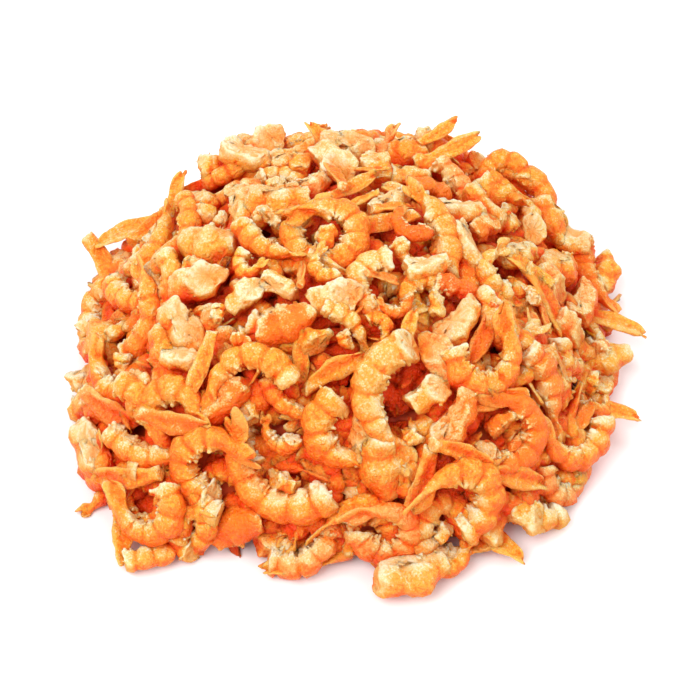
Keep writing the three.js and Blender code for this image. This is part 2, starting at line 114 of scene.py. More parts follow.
world = bpy.data.worlds.new("surround")
scene.world = world
world.use_nodes = True
surround = world.node_tree.nodes["Background"]
surround.inputs["Color"].default_value = SURROUND_COLOUR
surround.inputs["Strength"].default_value = SURROUND_STRENGTH
scene.view_settings.view_transform = "Standard"
scene.view_settings.look = "None"

bpy.ops.mesh.primitive_plane_add(size=FLOOR_SIZE)
floor = bpy.context.object
floor.name = "floor"

# %% [markdown]
# ## Kinds of shrimp
# A dried shrimp is a thick, curled body with a slender tail. Here each kind is a length, the angle that
# it curls through, how far its tail bends back, and how thick it is. All sizes are in millimetres.
# The outline says how the thickness changes, from the neck end at 0 to the tip of the tail at 1.

# %% Kinds
STATIONS = 12
TAIL_STARTS = 0.78
BODY = ((0, 0.66), (0.08, 0.9), (0.25, 1), (0.5, 0.93), (0.68, 0.72), (0.8, 0.44), (0.9, 0.5), (1, 0.14))
FAN = ((0, 0.6), (0.25, 0.62), (0.6, 1), (0.85, 0.72), (1, 0.15))
LUMP = ((0, 0.6), (0.15, 0.95), (0.5, 1), (0.85, 0.86), (1, 0.45))
SMALL_KINDS = ("tail", "chunk", "nugget", "comma")


class Kind:
    """One kind of shrimp, its spine, and the balls that stand for it while the heap is poured."""

    def __init__(self, name, length, curl, back, girth, pitch, outline, share):
        self.name, self.length, self.girth, self.pitch = name, length, girth, pitch
        self.curl, self.back, self.outline, self.share = curl, back, outline, share
        self.spine = self.bent_spine()
        self.balls = self.spine[1::2]
        self.radii = np.array([self.radius_at(i / (2 * STATIONS)) for i in range(1, 2 * STATIONS, 2)])

    def heading(self, t):
        along = min(t / TAIL_STARTS, 1)
        tail = ease((t - TAIL_STARTS) / (1 - TAIL_STARTS))
        return math.radians(self.curl * (0.6 * along + 0.4 * ease(along)) - self.back * tail)

    def radius_at(self, t):
        for (start, wide), (end, widened) in zip(self.outline, self.outline[1:]):
            if t <= end:
                return self.girth / 2 * (wide + (widened - wide) * (t - start) / (end - start))
        return self.girth / 2 * self.outline[-1][1]

    def bent_spine(self):
        step = self.length / (2 * STATIONS)
        points = [(0.0, 0.0, -self.pitch / 2)]
        for i in range(2 * STATIONS):
            turn = self.heading((i + 0.5) / (2 * STATIONS))
            x, y, _ = points[-1]
            height = self.pitch * ((i + 1) / (2 * STATIONS) - 0.5)
            points.append((x + step * math.cos(turn), y + step * math.sin(turn), height))
        points = np.array(points)
        return points - points[1::2].mean(0)


def ease(t):
    u = min(max(t, 0), 1)
    return u * u * (3 - 2 * u)


KINDS = {
    kind.name: kind
    for kind in (
        Kind("ring", 41, 270, -10, 7.6, 4, BODY, 0.1),
        Kind("horseshoe", 38, 205, 15, 7.8, 2, BODY, 0.19),
        Kind("hook", 34, 135, 25, 7.2, 2, BODY, 0.17),
        Kind("comma", 26, 165, 0, 7.2, 2, BODY, 0.18),
        Kind("arc", 26, 60, 0, 7, 0, BODY, 0.09),
        Kind("tail", 18, 18, 0, 5.2, 0, FAN, 0.07),
        Kind("chunk", 13, 30, 0, 8, 0, LUMP, 0.13),
        Kind("nugget", 9, 0, 0, 7.4, 0, LUMP, 0.07),
    )
}
print(len(KINDS), "kinds:", ", ".join(f"{k.name} {k.length} mm" for k in KINDS.values()))

# %% [markdown]
# ## The shape of the heap
# Poured food makes a dome: steep at the rim and rounded on top. Its outline is a rounded oblong,
# deeper at the back than in front, with a slow wave so that it isn't regular.

# %% Dome
HALF_WIDTH, FRONT_DEPTH, BACK_DEPTH = 70, 61, 80
SQUARENESS = 2.5
UNEVEN = ((2, 0.027), (3, -0.02), (5, 0.025))
NOTCH_AT, NOTCH_DEPTH, NOTCH_WIDTH = -2.0, 0.13, 0.17
HEAP_TOP, RIM_HEIGHT, BULGE = 48, 5, 2.2
BED_SHARE, BED_TOP, BED_RIM = 0.8, 34, 0


def reach(angle):
    """How far the heap reaches in a direction, seen from above."""
    depth = BACK_DEPTH if math.sin(angle) > 0 else FRONT_DEPTH
    across = (abs(math.cos(angle)) / HALF_WIDTH) ** SQUARENESS
    back = (abs(math.sin(angle)) / depth) ** SQUARENESS
    wave = 1 + sum(size * math.sin(times * angle) for times, size in UNEVEN)
    wave -= NOTCH_DEPTH * math.exp(-(((angle - NOTCH_AT) / NOTCH_WIDTH) ** 2))
    return (across + back) ** (-1 / SQUARENESS) * wave


def at(angle, share):
    """The place in a direction, at a share of the way to the rim."""
    out = share * reach(angle)
    return out * math.cos(angle), out * math.sin(angle)


def is_near(x, y, places):
    """Whether a point lies in the room of one of some places."""
    return any(math.hypot(x - px, y - py) < room for px, py, room in places)


def dome_height(x, y, share=1, top=HEAP_TOP, rim=RIM_HEIGHT):
    out = math.hypot(x, y) / (share * reach(math.atan2(y, x)))
    return rim + (top - rim) * (1 - out**BULGE) if out < 1 else 0


def bed_height(x, y):
    return dome_height(x, y, BED_SHARE, BED_TOP, BED_RIM)


def slope_at(x, y):
    edge = reach(math.atan2(y, x))
    out = min(math.hypot(x, y) / edge, 1)
    return math.atan(BULGE * (HEAP_TOP - RIM_HEIGHT) / edge * out ** (BULGE - 1))


front_slope = math.degrees(slope_at(0, -FRONT_DEPTH))
print("the dome is", HEAP_TOP, "mm high, and its front rises at", round(front_slope), "degrees")

# %% [markdown]
# ## Pouring
# Simulating hundreds of soft, hooked bodies would be slow. A simpler rule gives the same look: each
# shrimp is a chain of balls, dropped where the heap is lowest under its dome. It wriggles a little
# to find a lower place, and stays unless it would stand out of the dome.
# The draw is seeded, so the heap is the same one each time.

# %% Seeded dice
SEED = 11


class Dice:
    """A seeded draw, the same on every machine."""

    def __init__(self, seed):
        self.state = seed

    def roll(self, low=0.0, high=1.0):
        self.state = self.state * 16807 % 2147483647
        return low + (high - low) * self.state / 2147483647


# %% [markdown]
# A shrimp of the pile is only its kind, its pose, and its balls once it lies. Blender's matrices could
# turn the balls, but a plain formula is quick enough to try thousands of poses.

# %% One shrimp of the heap
def turned(points, facing, lean, spin, mirrored):
    """Points turned in their own plane by spin, then tipped by lean towards facing."""
    x = points[:, 0]
    y = -points[:, 1] if mirrored else points[:, 1]
    z = points[:, 2]
    turn = spin - facing
    flat_x = math.cos(turn) * x - math.sin(turn) * y
    flat_y = math.sin(turn) * x + math.cos(turn) * y
    tipped_x = math.cos(lean) * flat_x + math.sin(lean) * z
    tipped_z = -math.sin(lean) * flat_x + math.cos(lean) * z
    return np.stack((
        math.cos(facing) * tipped_x - math.sin(facing) * flat_y,
        math.sin(facing) * tipped_x + math.cos(facing) * flat_y,
        tipped_z,
    ), 1)


class Piece:
    """One shrimp of the heap: its kind, its pose, and its balls once it lies."""

    def __init__(self, kind, x, y, facing, lean, spin, mirrored, size):
        self.kind, self.x, self.y, self.z = kind, x, y, 0.0
        self.facing, self.lean, self.spin = facing, lean, spin
        self.mirrored, self.size, self.tone = mirrored, size, None

    def pose(self):
        return self.x, self.y, self.facing, self.lean, self.spin

    def posed_balls(self, pose=None):
        x, y, facing, lean, spin = pose or self.pose()
        points = turned(KINDS[self.kind].balls, facing, lean, spin, self.mirrored) * self.size
        return points + (x, y, 0)

    def radii(self):
        return KINDS[self.kind].radii * self.size


# %% [markdown]
# The pile keeps the balls of all that lies in one array, so the height at which a new shrimp comes to
# rest on its neighbours is one sum over it. It may sink in a little, as soft bodies squeeze together.

# %% The pile
SQUEEZE = 0.86
POUR_SHARE, PLACES_TRIED, IDLE_LIMIT = 0.94, 10, 30
SUNK_UNDER_TOP_PIECES, LACKS_LESS_THERE = 5.5, 7
WRIGGLES, WRIGGLE_SIZES = 14, (1.5, 1.5, 0.2, 0.2, 0.2)
CHANCE_TURN, CHANCE_LEAN = 0.7, 0.5
LAID_LOWER, LAID_HIGHER = 2.5, 0.5


class Pile:
    """Everything laid so far."""

    def __init__(self, seed):
        self.dice = Dice(seed)
        self.pieces = []
        self.balls = np.zeros((0, 3))
        self.radii = np.zeros(0)

    def height_at(self, x, y):
        apart = (self.balls[:, 0] - x) ** 2 + (self.balls[:, 1] - y) ** 2
        on = apart < self.radii**2
        tops = self.balls[on, 2] + np.sqrt(self.radii[on] ** 2 - apart[on])
        return max(bed_height(x, y), tops.max(initial=0))

    def neighbours(self, piece, margin):
        kind = KINDS[piece.kind]
        length = np.sqrt((kind.balls**2).sum(1)).max() * piece.size
        room = length + 2 * kind.radii.max() * piece.size + margin
        near = (np.abs(self.balls[:, :2] - (piece.x, piece.y)) < room).all(1)
        return self.balls[near], self.radii[near]

    def rest(self, balls, radii, near):
        """The height at which balls come to rest on the floor, the bed and their neighbours."""
        lift = (radii - balls[:, 2]).max()
        for (x, y, z), radius in zip(balls, radii):
            bed = bed_height(x, y)
            if bed > 0:
                lift = max(lift, bed + radius - z)
        others, other_radii = near
        apart = ((others[:, None, :2] - balls[None, :, :2]) ** 2).sum(2)
        touch = (SQUEEZE * (other_radii[:, None] + radii[None])) ** 2
        rise = others[:, None, 2] + np.sqrt(np.maximum(touch - apart, 0)) - balls[None, :, 2]
        return max(lift, rise[apart < touch].max(initial=-np.inf))

    def keep(self, piece, balls, z):
        piece.z = z
        self.pieces.append(piece)
        self.balls = np.vstack((self.balls, balls + (0, 0, z)))
        self.radii = np.concatenate((self.radii, piece.radii()))

    def drop(self, piece, may_stand_out, kept_low):
        """Lets a piece wriggle into the lowest of a few poses, and keeps it unless it stands out."""
        near = self.neighbours(piece, 9)
        radii = piece.radii()
        best = piece.pose()
        balls = piece.posed_balls()
        low = self.rest(balls, radii, near)
        for _ in range(WRIGGLES):
            tried = tuple(v + self.dice.roll(-w, w) for v, w in zip(best, WRIGGLE_SIZES))
            tried_balls = piece.posed_balls(tried)
            height = self.rest(tried_balls, radii, near)
            if height < low:
                best, balls, low = tried, tried_balls, height
        for (x, y, z), radius in zip(balls, radii):
            above = z + low + radius - dome_height(x, y)
            if above + SUNK_UNDER_TOP_PIECES * is_near(x, y, kept_low) > may_stand_out:
                return False
        piece.x, piece.y, piece.facing, piece.lean, piece.spin = best
        self.keep(piece, balls, low)
        return True

    def pick(self, names):
        left = self.dice.roll(0, sum(KINDS[name].share for name in names))
        for name in names:
            left -= KINDS[name].share
            if left <= 0:
                return name
        return names[-1]

    def pour(self, names, gap, smallest, largest, may_stand_out, kept_low=()):
        """Drops pieces where the pile is lowest under the dome, until no place lacks more than the gap."""
        roll = self.dice.roll
        idle = 0
        while idle < IDLE_LIMIT:
            lowest = (-math.inf, 0, 0, 0)
            for _ in range(PLACES_TRIED):
                angle = roll(-math.pi, math.pi)
                x, y = at(angle, POUR_SHARE * math.sqrt(roll()))
                lacks = dome_height(x, y) - self.height_at(x, y)
                lacks -= LACKS_LESS_THERE * is_near(x, y, kept_low)
                if lacks > lowest[0]:
                    lowest = (lacks, x, y, angle)
            lacks, x, y, angle = lowest
            if lacks < gap:
                idle += 1
                continue
            kind = self.pick(names)
            facing = angle + roll(-CHANCE_TURN, CHANCE_TURN)
            lean = slope_at(x, y) + roll(-CHANCE_LEAN, CHANCE_LEAN)
            spin = roll(0, 2 * math.pi)
            mirrored = roll() < 0.5
            piece = Piece(kind, x, y, facing, lean, spin, mirrored, roll(smallest, largest))
            idle = 0 if self.drop(piece, may_stand_out, kept_low) else idle + 1

    def lay(self, piece, height):
        """Lays a piece near the height it is meant to have."""
        balls, radii = piece.posed_balls(), piece.radii()
        ground = (radii - balls[:, 2]).max()
        touching = self.rest(balls, radii, self.neighbours(piece, 5))
        z = min(max(touching, height - LAID_LOWER), height + LAID_HIGHER)
        self.keep(piece, balls, max(z, ground))


# %% [markdown]
# ## The shrimps on top
# Those on top are what makes this heap this one, so they are listed one by one: kind, place across and
# back, how much it is raised above the dome, turn, size, the side it curls to, and its colour.
# The ones at the edge stand at a height of their own and lean towards the front.

# %% Laid one by one
ON_TOP = """
horseshoe -3 8 2 0 1 1 orange; comma -9 10 0 185 1 -1 orange; horseshoe 9 -9 1 175 0.85 1 cream
comma 18 -8 -1 110 0.85 1 orange; hook 10 -35 3 190 1.2 1 cream; horseshoe 34 -22 2 -85 1 1 orange
hook -18 -45 3.5 215 1.25 -1 orange; hook -24 -29 1.5 110 0.95 1 orange; horseshoe -31 -43 1 165 1 -1 orange
horseshoe 27 -49 2.5 30 1.1 1 orange; ring 9 -54 1.5 -75 1 1 pink; horseshoe -47 -49 1.5 -60 0.9 -1 orange
hook 55 -30 0 -85 1 -1 orange; horseshoe 40 -34 0 -25 1 1 deep; comma -39 -31 0 85 1.1 -1 orange
arc -46 -32 0 -35 1.05 -1 orange; arc -46 -37 -1 -55 1 1 orange; tail -52 -41 1 185 1.2 -1 orange
chunk -60 -30 0 -90 1.35 1 cream; chunk -14 -17 0 0 1.15 1 deep; chunk -23 -9 0 60 0.85 -1 cream
chunk -15 -8 0 -20 0.8 -1 cream; chunk -2 -12 1 -10 1.1 1 cream; nugget -6 -22 0 40 0.95 -1 orange
arc 2 -19 0 -10 0.7 -1 cream; tail 15 -21 2 90 0.7 -1 yellow; arc 29 -7 0 15 0.8 -1 red
tail 33 -16 2.5 -95 1 -1 red; tail 38 -2 2 20 0.8 -1 orange; chunk 27 -14 0 45 1.15 1 cream
tail -33 -26 3.5 -110 0.95 -1 yellow; chunk -35 -1 2 -20 1.25 1 cream; arc 22 13 1.5 75 1.15 1 orange
chunk 20 -2 2.5 10 0.95 1 cream; tail 10 13 0 210 1.05 -1 orange; chunk 10 21 0 20 0.9 1 cream
chunk 16 37 0 0 0.85 1 cream; chunk 30 10 0 -70 1.1 1 cream; comma 37 6 0 200 0.85 -1 cream
tail 51 4 0 -35 1.25 -1 orange; chunk -28 -31 -2 10 1.2 1 deep; arc -12 -33 0 -75 0.7 1 orange
comma -1 -40 0 200 1.2 1 orange; chunk 4 -40 -0.5 80 1.1 1 cream; chunk 10 -44 0 -95 1.25 1 cream
tail 14 -47 1.5 -60 0.6 -1 yellow; tail -2 -28 0 40 1 -1 orange; tail -10 -25 0 -80 0.85 -1 yellow
tail 28 -43 3 -5 1.05 -1 orange; tail 18 -48 1 -90 1.15 -1 orange; tail 40 -43 0 10 1.15 -1 orange
nugget 37 -33 -3 60 0.9 -1 deep; arc 52 -16 -2 -55 0.9 -1 yellow; chunk -26 22 0 -80 1 -1 yellow
arc -18 6 0 -70 0.85 1 orange; arc -53 9 0 -70 1 1 yellow; arc -44 1 0 -70 0.95 -1 cream
comma -62 17 0 100 1.1 -1 orange; chunk -25 -52 0 35 1.2 -1 deep; comma -36 -52 0 150 0.9 -1 orange
chunk -35 65 0 70 1.25 1 yellow; chunk -24 49 1 -35 1.2 1 cream; nugget -31 38 1 90 0.9 1 cream
chunk -17 54 -1 0 1.15 1 deep; tail -13 62 2 175 0.95 1 yellow; chunk -10 45 1 100 0.9 -1 yellow
chunk -3 39 1 -35 1.25 -1 cream; nugget -37 33 1 90 1.3 1 yellow; chunk -17 25 1 -20 1.3 1 orange
chunk -26 33 0 0 0.9 -1 pink; nugget -20 19 0 40 0.8 1 orange; tail 2 27 2 20 0.9 1 orange
chunk 8 38 1 80 1 1 orange; chunk -10 30 0 10 0.9 1 pink; chunk 32 52 0 -10 1 1 orange
arc 29 34 1 -35 0.85 -1 pink; chunk 35 20 1 30 0.9 1 deep; chunk 36 28 2 -60 1.1 1 orange
chunk 29 22 2 5 1.1 1 cream; nugget 42 27 1 0 0.9 1 yellow; chunk 41 42 2 -25 1.25 1 yellow
chunk 48 32 1 -60 1.1 -1 yellow; chunk 43 15 1 20 0.9 1 cream; tail 46 10 2 160 0.9 1 yellow
chunk 54 21 0 20 1.2 1 orange; chunk 53 12 0 -70 0.95 1 pink; chunk 61 14 0 60 1.2 1 deep
chunk 57 1 0 -45 0.95 1 pink; chunk 54 -9 0 -20 0.95 1 pink; chunk 51 -16 1 -60 1.3 1 orange
comma 40 -11 2 -120 1.05 1 cream; tail 47 -11 1 100 1 1 pink; comma 42 -19 1 20 0.9 -1 orange
arc 49 -23 1 -20 1.05 -1 deep; tail 36 -30 1 185 1 1 deep; chunk 26 -35 0 60 1.2 1 deep
chunk 21 -24 -1 90 1.1 1 pink; chunk 20 -31 0 20 1 1 orange; chunk -46 5 0 -70 0.95 1 pink
hook -50 0 1 -15 1 1 orange; comma -57 -14 1 230 1.1 -1 orange; chunk -62 0 0 90 1.2 1 cream
chunk -43 -18 0 75 1.2 1 orange; chunk -49 -24 1 70 1 1 yellow; chunk -37 -13 1 -80 1.35 1 cream
chunk -37 -21 1 -30 1 1 cream; chunk -61 -17 0 80 1.2 1 orange; tail -57 -24 2 -50 1.2 1 pink
tail -40 -35 2 -30 1.1 1 deep; chunk -60 36 -1 -70 1 1 deep; nugget -57 42 0 0 0.9 1 pink
chunk -53 24 0 0 0.9 1 cream; arc -48 29 1 35 1 1 orange; chunk -45 14 1 20 1.1 1 cream
arc -41 25 1 -60 0.9 -1 orange; chunk -33 13 1 -40 1.3 1 cream
"""
AT_THE_EDGE = """
arc -43 -54 3 -5 0.85 1 0 cream; tail -53 -50 4 -68 1 -1 10 orange; tail -9 -58 3 205 1.25 -1 0 orange
chunk -14 -53 4 30 1.05 -1 10 cream; comma 25 -57 4 -90 0.8 1 10 orange; tail 36 -52 3 -25 1.05 -1 0 yellow
chunk 42 -41 6 40 1.1 -1 20 cream; nugget 48 -40 4 0 1 -1 0 cream; chunk 15 -61 4 0 1.35 1 0 cream
chunk -65 -2 5 30 1 1 0 cream; chunk -66 13 6 10 0.75 1 0 cream; chunk -63 -24 5 90 1 1 0 cream
tail 65 -15 6 0 1.15 -1 0 yellow; chunk 66 1 8 -8 1.15 1 0 cream; chunk 63 -7 6 -5 0.95 1 0 orange
tail 69 12 9 -12 1.2 -1 0 yellow; chunk 69 31 10 60 1 1 0 yellow; arc 66 26 10 -110 1.05 1 10 deep
chunk 59 36 16 -40 1.25 1 20 cream; chunk 55 39 20 -80 1.1 1 30 orange; tail -59 43 11 195 1.1 1 10 yellow
tail -65 34 7 -50 1.2 -1 20 orange; tail -50 42 18 45 1.1 -1 30 orange; nugget -42 46 21 0 0.75 1 20 pink
tail -45 45 23 85 0.75 -1 40 yellow; nugget -34 50 27 0 1.2 1 20 yellow; chunk -28 52 29.5 60 1.1 1 30 pink
chunk -22 55 31 20 1.2 1 30 pink; chunk -25 49 33 -30 1.2 1 30 cream; chunk -13 48 34.5 10 1.05 1 40 orange
chunk 0 52 35 -20 1.2 1 40 pink; tail -5 51 36 115 0.85 1 35 yellow; arc 7 51 32.5 0 0.85 1 40 pink
chunk 16 53 31.5 -20 1 1 30 orange; chunk 21 55 29.5 80 1 1 30 cream; tail 29 52 33 15 0.95 1 30 yellow
tail 25 56 35 22 0.75 1 30 yellow; comma 41 49 27 90 0.9 1 45 orange; arc 50 46 23 -5 1.1 -1 35 orange
"""


TOWARDS_FRONT, LAID_SUNK, ON_THE_TABLE = 0.42, 2, 8
SMALL, SMALL_ROOM, LARGE_ROOM = 20, 5, 8


def read_list(text):
    """Each entry as its kind, its numbers and its tone."""
    for entry in text.replace("\n", ";").split(";"):
        words = entry.split()
        if words:
            yield words[0], [float(word) for word in words[1:-1]], words[-1]


hand_laid = []
for kind, (x, y, raised, turn, size, side), tone in read_list(ON_TOP):
    up = math.tan(slope_at(x, y))
    across = up * x / math.hypot(x, y)
    back = up * y / math.hypot(x, y) - TOWARDS_FRONT
    facing, lean = math.atan2(back, across), math.atan(math.hypot(across, back))
    piece = Piece(kind, x, y, facing, lean, math.radians(turn), side < 0, size)
    piece.tone = tone
    hand_laid.append((piece, dome_height(x, y) - LAID_SUNK + raised))
for kind, (x, y, height, turn, size, side, tip), tone in read_list(AT_THE_EDGE):
    piece = Piece(kind, x, y, -math.pi / 2, math.radians(tip), math.radians(turn), side < 0, size)
    piece.tone = tone
    hand_laid.append((piece, height))

kept_low = []
for piece, height in hand_laid:
    if height > ON_THE_TABLE:
        kept_low.append((piece.x, piece.y, SMALL_ROOM if KINDS[piece.kind].length < SMALL else LARGE_ROOM))
pile = Pile(SEED)
pile.pour(list(KINDS), gap=5, smallest=0.7, largest=1.02, may_stand_out=4, kept_low=kept_low)
poured = len(pile.pieces)
for piece, height in hand_laid:
    pile.lay(piece, height)
pile.pour(SMALL_KINDS, gap=4.5, smallest=0.6, largest=0.9, may_stand_out=3.5)
small = len(pile.pieces) - poured - len(hand_laid)
print(poured, "poured,", len(hand_laid), "laid by hand,", small, "small")

# %% [markdown]
# ## Beneath the top layer
# Through the gaps one sees more shrimps, not a core. A sunflower spiral spreads them evenly below the
# top layer, where they need no resting place, since nothing shows how they are held.
# The solid leaves out the smallest pieces, so a last pour here drops crumbs into the gaps on top.
# Behind the crest it leaves a hollow. Two rows of shrimps fill it, and whatever would then reach
# beyond the solid's back is pulled forward. Those that hardly show will be the plain model of their kind.

# %% The layer beneath
HEAP_MIDDLE = np.array((3.341, 7.558, 0))
BACK_REACH, ENOUGH = 75.5, 0.4
BEHIND_ROWS, BEHIND_COUNT, BEHIND_FROM, BEHIND_SPAN = ((0.76, 0.5), (0.84, -1.5)), 12, 35, 95
BEHIND_KINDS = ("hook", "arc", "ring", "horseshoe", "comma")
UNDER_COUNT, UNDER_SUNK, UNDER_SHARE = 250, 7.0, 0.93
UNDER_KINDS = ("horseshoe", "comma", "arc", "chunk", "hook", "ring")
GOLDEN_ANGLE = math.radians(137.508)
COVER_FROM, COVER_AHEAD, COVER_SHARE, OWN_SQUARED = 24, 3, 0.8, 20


def layer_beneath(dice):
    pieces = []
    for i in range(UNDER_COUNT):
        angle = (i * GOLDEN_ANGLE + math.pi) % (2 * math.pi) - math.pi
        x, y = at(angle, UNDER_SHARE * ((i + 0.5) / UNDER_COUNT) ** 0.42)
        lean = slope_at(x, y) + dice.uniform(-0.35, 0.35)
        spin, mirrored = dice.uniform(0, 2 * math.pi), dice.random() < 0.5
        piece = Piece(dice.choice(UNDER_KINDS), x, y, angle, lean, spin, mirrored, dice.uniform(0.8, 1))
        ground = (piece.radii() - piece.posed_balls()[:, 2]).max()
        piece.z = max(dome_height(x, y) - UNDER_SUNK + dice.uniform(-1, 1), ground)
        pieces.append(piece)
    return pieces


def lay_behind(dice):
    """Two rows behind the crest, where the photo doesn't look, so that the crest doesn't hang free."""
    for share, raised in BEHIND_ROWS:
        for i in range(BEHIND_COUNT):
            angle = math.radians(BEHIND_FROM + BEHIND_SPAN * (i + dice.uniform(0.2, 0.8)) / BEHIND_COUNT)
            x, y = at(angle, share)
            lean = slope_at(x, y) + dice.uniform(0.1, 0.5)
            spin, mirrored = dice.uniform(0, 2 * math.pi), dice.random() < 0.5
            size = dice.uniform(0.75, 0.95)
            piece = Piece(dice.choice(BEHIND_KINDS), x, y, angle, lean, spin, mirrored, size)
            pile.lay(piece, dome_height(x, y) + raised)


def share_that_shows(piece):
    """The share of a piece's balls that nothing covers, seen square to the dome."""
    out, up = math.sin(slope_at(piece.x, piece.y)), math.cos(slope_at(piece.x, piece.y))
    angle = math.atan2(piece.y, piece.x)
    outward = np.array((out * math.cos(angle), out * math.sin(angle), up))
    own = piece.posed_balls() + (0, 0, piece.z)
    near = (np.abs(pile.balls - own.mean(0)) < COVER_FROM).all(1)
    apart = pile.balls[near][None] - own[:, None]
    squared = (apart**2).sum(2)
    ahead = apart @ outward
    beside = squared - ahead**2 < (COVER_SHARE * pile.radii[near]) ** 2
    covers = (ahead > COVER_AHEAD) & beside & (squared > OWN_SQUARED)
    return 1 - covers.any(1).mean()


before = len(pile.pieces)
pile.pour(SMALL_KINDS, gap=2.8, smallest=0.5, largest=0.8, may_stand_out=3.5)
lay_behind(random.Random(3))
beneath = layer_beneath(random.Random(2))
for piece in pile.pieces + beneath:
    far = (piece.posed_balls()[:, 1] + piece.radii()).max() - HEAP_MIDDLE[1]
    piece.y -= max(far - BACK_REACH, 0)
shares = [share_that_shows(piece) for piece in pile.pieces] + [0.0] * len(beneath)
shown = sum(share > ENOUGH for share in shares)
print(len(pile.pieces) - before, "more on top,", len(beneath), "beneath, and", shown, "show")

# %% How far the pile reaches
low = (pile.balls - pile.radii[:, None]).min(0) - HEAP_MIDDLE
high = (pile.balls + pile.radii[:, None]).max(0) - HEAP_MIDDLE
print("the pile spans", low.round(1), "to", high.round(1), "mm, and the solid's middle is the origin")

# %% [markdown]
# ## Modelling one shrimp
# Peeled and dried, a shrimp is a row of bulging segments with a groove between each two, a ragged
# neck where the head came off, torn skin along the belly, and a flat fan at the tail.
# It could be sculpted in its curled form, but it is easier straight: a disc at the neck is drawn out
# ring by ring along X, each ring resized to the outline. Only then is it bent along its spine.
# Lumps, tails and necks are where a shrimp broke, so these are cut with Bisect, and the cut is drawn in
# to a rough, slightly hollow face. We model four of each kind, because no two shrimps are alike, and a
# plain one with fewer sides for those that are mostly covered.

# %% Modelling helpers
VARIANTS = 4
FINE_SIDES, PLAIN_SIDES = 12, 8
SEGMENT_LENGTH = 4.9
GROOVE, SHOULDER, CREST, HEM = 0.8, 0.98, 1.06, 1.05
LUMPS_WANDER, BODIES_WANDER = 0.07, 0.02
ORDERED_FROM = Vector((-31, 17, 43)) * MM


def only(obj):
    """Selects one object and nothing else."""
    if bpy.context.object and bpy.context.object.mode != "OBJECT":
        bpy.ops.object.mode_set(mode="OBJECT")
    bpy.ops.object.select_all(action="DESELECT")
    obj.select_set(True)
    bpy.context.view_layer.objects.active = obj


def choose(obj, test, parts="polygons"):
    """Leaves edit mode's selection on the faces, or the vertices, that pass a test."""
    bpy.ops.object.mode_set(mode="EDIT")
    bpy.ops.mesh.select_mode(type="FACE" if parts == "polygons" else "VERT")
    bpy.ops.mesh.select_all(action="DESELECT")
    bpy.ops.object.mode_set(mode="OBJECT")
    for part in getattr(obj.data, parts):
        part.select = bool(test(part))
    bpy.ops.object.mode_set(mode="EDIT")


def put_in_order(obj):
    """Sorts points and faces by their place, as operators may leave them in another order each run."""
    only(obj)
    bpy.ops.object.mode_set(mode="EDIT")
    bpy.ops.mesh.select_all(action="SELECT")
    scene.cursor.location = ORDERED_FROM
    bpy.ops.mesh.sort_elements(type="CURSOR_DISTANCE", elements={"VERT", "EDGE", "FACE"})
    scene.cursor.location = (0, 0, 0)
    bpy.ops.object.mode_set(mode="OBJECT")


def apply_modifiers(obj):
    only(obj)
    for modifier in list(obj.modifiers):
        bpy.ops.object.modifier_apply(modifier=modifier.name)


# %% Outline of one shrimp, ring by ring
def body_rings(kind):
    """Places along a body, and how much each is swollen: every segment has four rings."""
    segments = max(round(kind.length * TAIL_STARTS / SEGMENT_LENGTH), 3)
    rings = [(0.0, 0.8)]
    for i in range(segments):
        start, end = (TAIL_STARTS * (i + place) / segments for place in (0.0, 1.0))
        for share, swell in ((0.02, GROOVE), (0.16, SHOULDER), (0.55, CREST), (0.9, HEM)):
            if i or share > 0.1:
                rings.append((start + share * (end - start), swell))
    return rings + [(t, 1.0) for t in (0.8, 0.84, 0.875, 0.91, 0.945, 0.975, 1.0)]


def ring_size(kind, t, swell):
    """Half the height and half the width of a ring: deep in the body, and flat in the fan."""
    radius = kind.radius_at(t) * swell
    if kind.outline is not LUMP:
        radius *= 1 + 1.1 * ease((t - 0.88) / 0.12)
    if kind.outline is BODY:
        fan = ease((t - 0.8) / 0.1)
        neck = 0.14 * max(1 - t / 0.15, 0)
        return radius * (1.06 + neck - 0.56 * fan), radius * (0.92 + neck + 0.48 * fan)
    if kind.outline is FAN:
        return radius * 1.08, radius * (0.9 - 0.4 * ease((t - 0.1) / 0.3))
    return radius * 1.02, radius * 0.84


def rings_of(kind):
    """The places of a kind's rings, and how much each is swollen."""
    if kind.outline is BODY:
        return body_rings(kind)
    if kind.outline is FAN:
        return [(t, 1.0) for t in (0, 0.06, 0.16, 0.28, 0.4, 0.52, 0.64, 0.76, 0.86, 0.94, 1)]
    swells = (0.9, 1.02, 1.06, GROOVE, 1.06, 1.02, GROOVE, 0.9)
    return list(zip((0, 0.14, 0.32, 0.38, 0.5, 0.66, 0.72, 1), swells))


